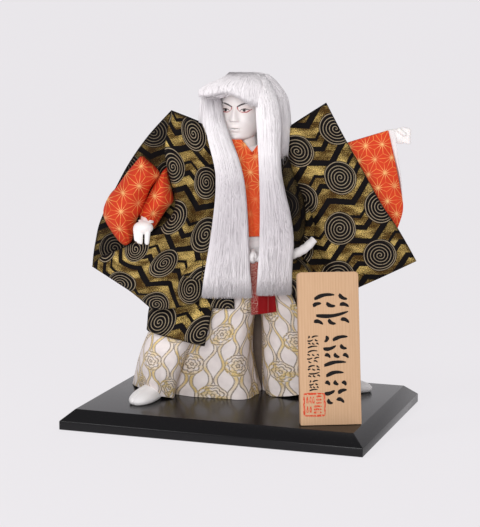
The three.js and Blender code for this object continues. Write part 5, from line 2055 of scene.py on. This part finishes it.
@dataclass
class Wig:
    """The white silk wig: a bell of hair, a fringe, two long front locks and a mane behind."""

    seed: int = 7
    opening: float = math.radians(52.0)
    locks: tuple = (
        Lock(
            "right_lock",
            (
                (-39.5, 125, 6, 125, -35, 0), (-37.6, 150, 5.2, 150, -35, 0),
                (-32.6, 178, 4.3, 178, -35, 0), (-28.8, 208, 2.8, 208, -35, 0),
                (-26.4, 235, 0.2, 235, -33.6, 0), (-29, 255, -4.5, 255, -30, 0),
                (-34.5, 275, -12, 275, -23.2, 0), (-37, 293, -19, 293, -18, 0),
                (-37.5, 314, -22, 314, -14.4, 0),
            ),
            10.6,
            1350,
            9,
            root_shade=1.0,
        ),
        Lock(
            "left_lock",
            (
                (13, 127, 44, 128, -34, 1), (13.4, 153, 45.4, 154, -34, 1), (14.7, 180, 47, 180, -34, 1),
                (15, 206, 43.6, 206, -33.8, 1.5), (14.7, 231, 37.4, 231, -33, 2),
                (13.7, 257, 33.6, 257, -32, 2), (11.6, 290, 35, 290, -30.5, 3),
                (10.5, 313, 31, 314, -28, 4), (10.5, 328, 24, 330, -16, 3), (11.5, 336, 19, 336, -3, 0),
            ),
            10.6,
            1350,
            10,
            root_shade=-0.35,
        ),
        Lock(
            "mane",
            (
                (-26, 84, 34, 84, 59, -8), (-37, 140, 45, 140, 58.9, -8), (-39, 195, 46, 195, 57, -8),
                (-39, 250, 43, 250, 48, -8), (-34, 302, 33, 302, 24, -8),
            ),
            11.6,
            1150,
            8,
            True,
        ),
    )
    bell_levels: tuple = (
        (3, 4, 337.0, 0.0, 0.0), (3, 4, 336.2, 14, 13), (4.5, 4, 331, 22.5, 24), (0.5, 4, 316, 38.5, 30.5),
        (0.5, 6, 300, 42.3, 30.5), (0.5, 8, 284, 43.2, 29), (1, 11, 266, 43, 25), (1, 13, 256, 41.5, 22),
    )
    fringe_rows: tuple = (
        (-42.5, 314.5, 15, 307), (-42.5, 320.5, 16.5, 318), (-34.5, 326.5, 16, 327), (-22, 331.5, 13, 334),
        (-14, 337.2, 10, 337.2),
    )
    bell_thickness: float = 4.0
    bell_overhang: float = 90.0
    fringe_thickness: float = 2.4
    fringe_overhang: float = 30.0
    thread_count: int = 1900

    def build(self) -> None:
        """Models the hair and dresses it."""
        strands = Strands(np.random.default_rng(self.seed))
        body, threads = SilkHair("silk_hair").make(), SilkHair("silk_threads", threads=True).make()
        for piece in (self._bell(), self._fringe(), *(lock.heart() for lock in self.locks)):
            dressed(piece, body, Slot.SILK_HAIR, "wig", smooth_to=70.0)
        layers = [self._bell_threads(strands), self._fringe_threads(strands)]
        for piece in layers + [lock.threads(strands) for lock in self.locks]:
            dressed(piece, threads, Slot.SILK_HAIR, "wig", smooth_to=180.0)

    def _bell_at(self, angle: Array, t: Array, out: Array) -> Places:
        """Returns a place on the bell.

        Args:
            angle: the way from the wig's middle, 0 to the picture's right.
            t: 0 at the crown, 1 at the bell's edge.
            out: how far it stands out.

        Returns:
            u, v and z.
        """
        u, v, z, width, depth = through(self.bell_levels, t)
        x, y = oval(angle, width + out, depth + out, 2.15)
        hang = np.maximum(t - 1.0, 0.0) * self.bell_overhang
        return u + x, v + y, z + out * smooth((0.4 - t) / 0.4) - hang

    def _bell(self) -> bpy.types.Object:
        """Models the solid heart of the bell, open at the face."""

        def at(s: Array, t: Array) -> Places:
            """Returns a place on the bell."""
            half = PI - self.opening * smooth((0.66 - t) / 0.12)
            angle = PI / 2 + mix(-half, half, s)
            clump = 0.5 * np.sin(37 * angle + 2 * np.sin(5 * t)) + 0.35 * np.sin(61 * angle)
            return self._bell_at(angle, 1 - t, clump * smooth((1 - t) / 0.3))

        item = cloth_piece("wig_bell", (150, 56), at)
        closed(item, fill=False)
        return thickened(item, self.bell_thickness)

    def _bell_threads(self, strands: Strands) -> bpy.types.Object:
        """Models the threads that run from the crown down the bell."""
        chance, each = strands.chance, (self.thread_count, 1)
        angle = PI / 2 + chance.uniform(-1, 1, each) * (PI - self.opening + 0.06)
        start = 0.10 + 0.5 * chance.random(each) ** 1.6
        end = 1.0 + chance.normal(0.0, 0.035, each)
        end = np.where(chance.random(each) < 0.15, chance.uniform(0.6, 1.0, each), end)
        t = start + (end - start) * np.linspace(0, 1, 9)
        around = angle + 0.03 * np.sin(4 * t + chance.uniform(0, TAU, each))
        around = around + chance.normal(0, 0.03, each) * t
        flick = power((t - 0.86) / 0.14, 2.0) * chance.uniform(-0.5, 2.2, each)
        out = chance.uniform(0.1, 1.5, each) * smooth(t / 0.3) + flick
        return strands.model("wig_bell_threads", np.stack(self._bell_at(around, t, out), axis=-1))

    def _fringe_at(self, s: Array, t: Array, out: Array) -> Places:
        """Returns a place on the fringe, a visor of hair.

        Args:
            s: 0 at its pointed left end, 1 at its right end.
            t: 0 at its edge, 1 at the crown.
            out: how far it stands out.

        Returns:
            u, v and z.
        """
        up = np.clip(t, 0, 1)
        u, z = between(self.fringe_rows, s, up)
        arch = 4.5 * bump(s, 0.42, 0.25) - 8.0 * smooth((s - 0.5) / 0.5) + 7.5 * s
        z = z + arch * (1 - up) + np.minimum(t, 0.0) * self.fringe_overhang
        v_edge = -28.5 - 6.0 * np.sin(PI * s) + 17.0 * (1 - s) ** 3
        v = mix(v_edge, 1.0, 1 - np.sqrt(np.maximum(1 - up**1.9, 0.0)))
        return u, v - out * 0.7, z + out * 0.7

    def _fringe(self) -> bpy.types.Object:
        """Models the solid heart of the fringe."""

        def at(s: Array, t: Array) -> Places:
            """Returns a place on the fringe."""
            clump = 0.4 * np.sin(TAU * 13 * s + 2 * np.sin(3 * t)) + 0.3 * np.sin(TAU * 29 * s)
            return self._fringe_at(mix(0.02, 0.98, s), mix(0.07, 1.0, t), clump * (1 - t))

        return thickened(cloth_piece("wig_fringe", (100, 32), at), self.fringe_thickness)

    def _fringe_threads(self, strands: Strands) -> bpy.types.Object:
        """Models the threads that sweep from the crown to the fringe's edge."""
        chance, each = strands.chance, (self.thread_count, 1)
        start = 1.0 - 0.5 * chance.random(each) ** 1.5
        end = chance.normal(0.0, 0.028, each) + 0.012
        t = start + (end - start) * np.linspace(0, 1, 7)
        across = chance.random(each) + chance.normal(0, 0.015, each) * (1 - t)
        route = self._fringe_at(across, t, chance.uniform(0.0, 1.3, each))
        return strands.model("wig_fringe_threads", np.stack(route, axis=-1))


def main() -> None:
    """Builds the studio and every piece of the doll."""
    logging.basicConfig(level=logging.INFO, format="%(message)s")
    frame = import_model()
    LOG.info("packed model: %s", type(frame).__name__)
    studio = Studio()
    studio.add_camera()
    studio.build()
    costume = (Hakama(), Kimono(), UnderRobe(), Collar(), Waist())
    for part in (Plinth(), NameBoard(), *costume, Hands(), Head(), Wig()):
        part.build()
    white = WhiteCloth("sock_white", (0.90, 0.88, 0.88), (0.80, 0.77, 0.78), 0.4).make()
    right = Sock("right_sock", "right_foot", toe=(-105.5, -37), heading=math.radians(-112.0), thumb=-1.0)
    left = Sock("left_sock", "left_foot", toe=(128, 22), heading=math.radians(-10.0), thumb=1.0)
    for sock in (right, left):
        sock.build(white)


if __name__ == "__main__":
    main()
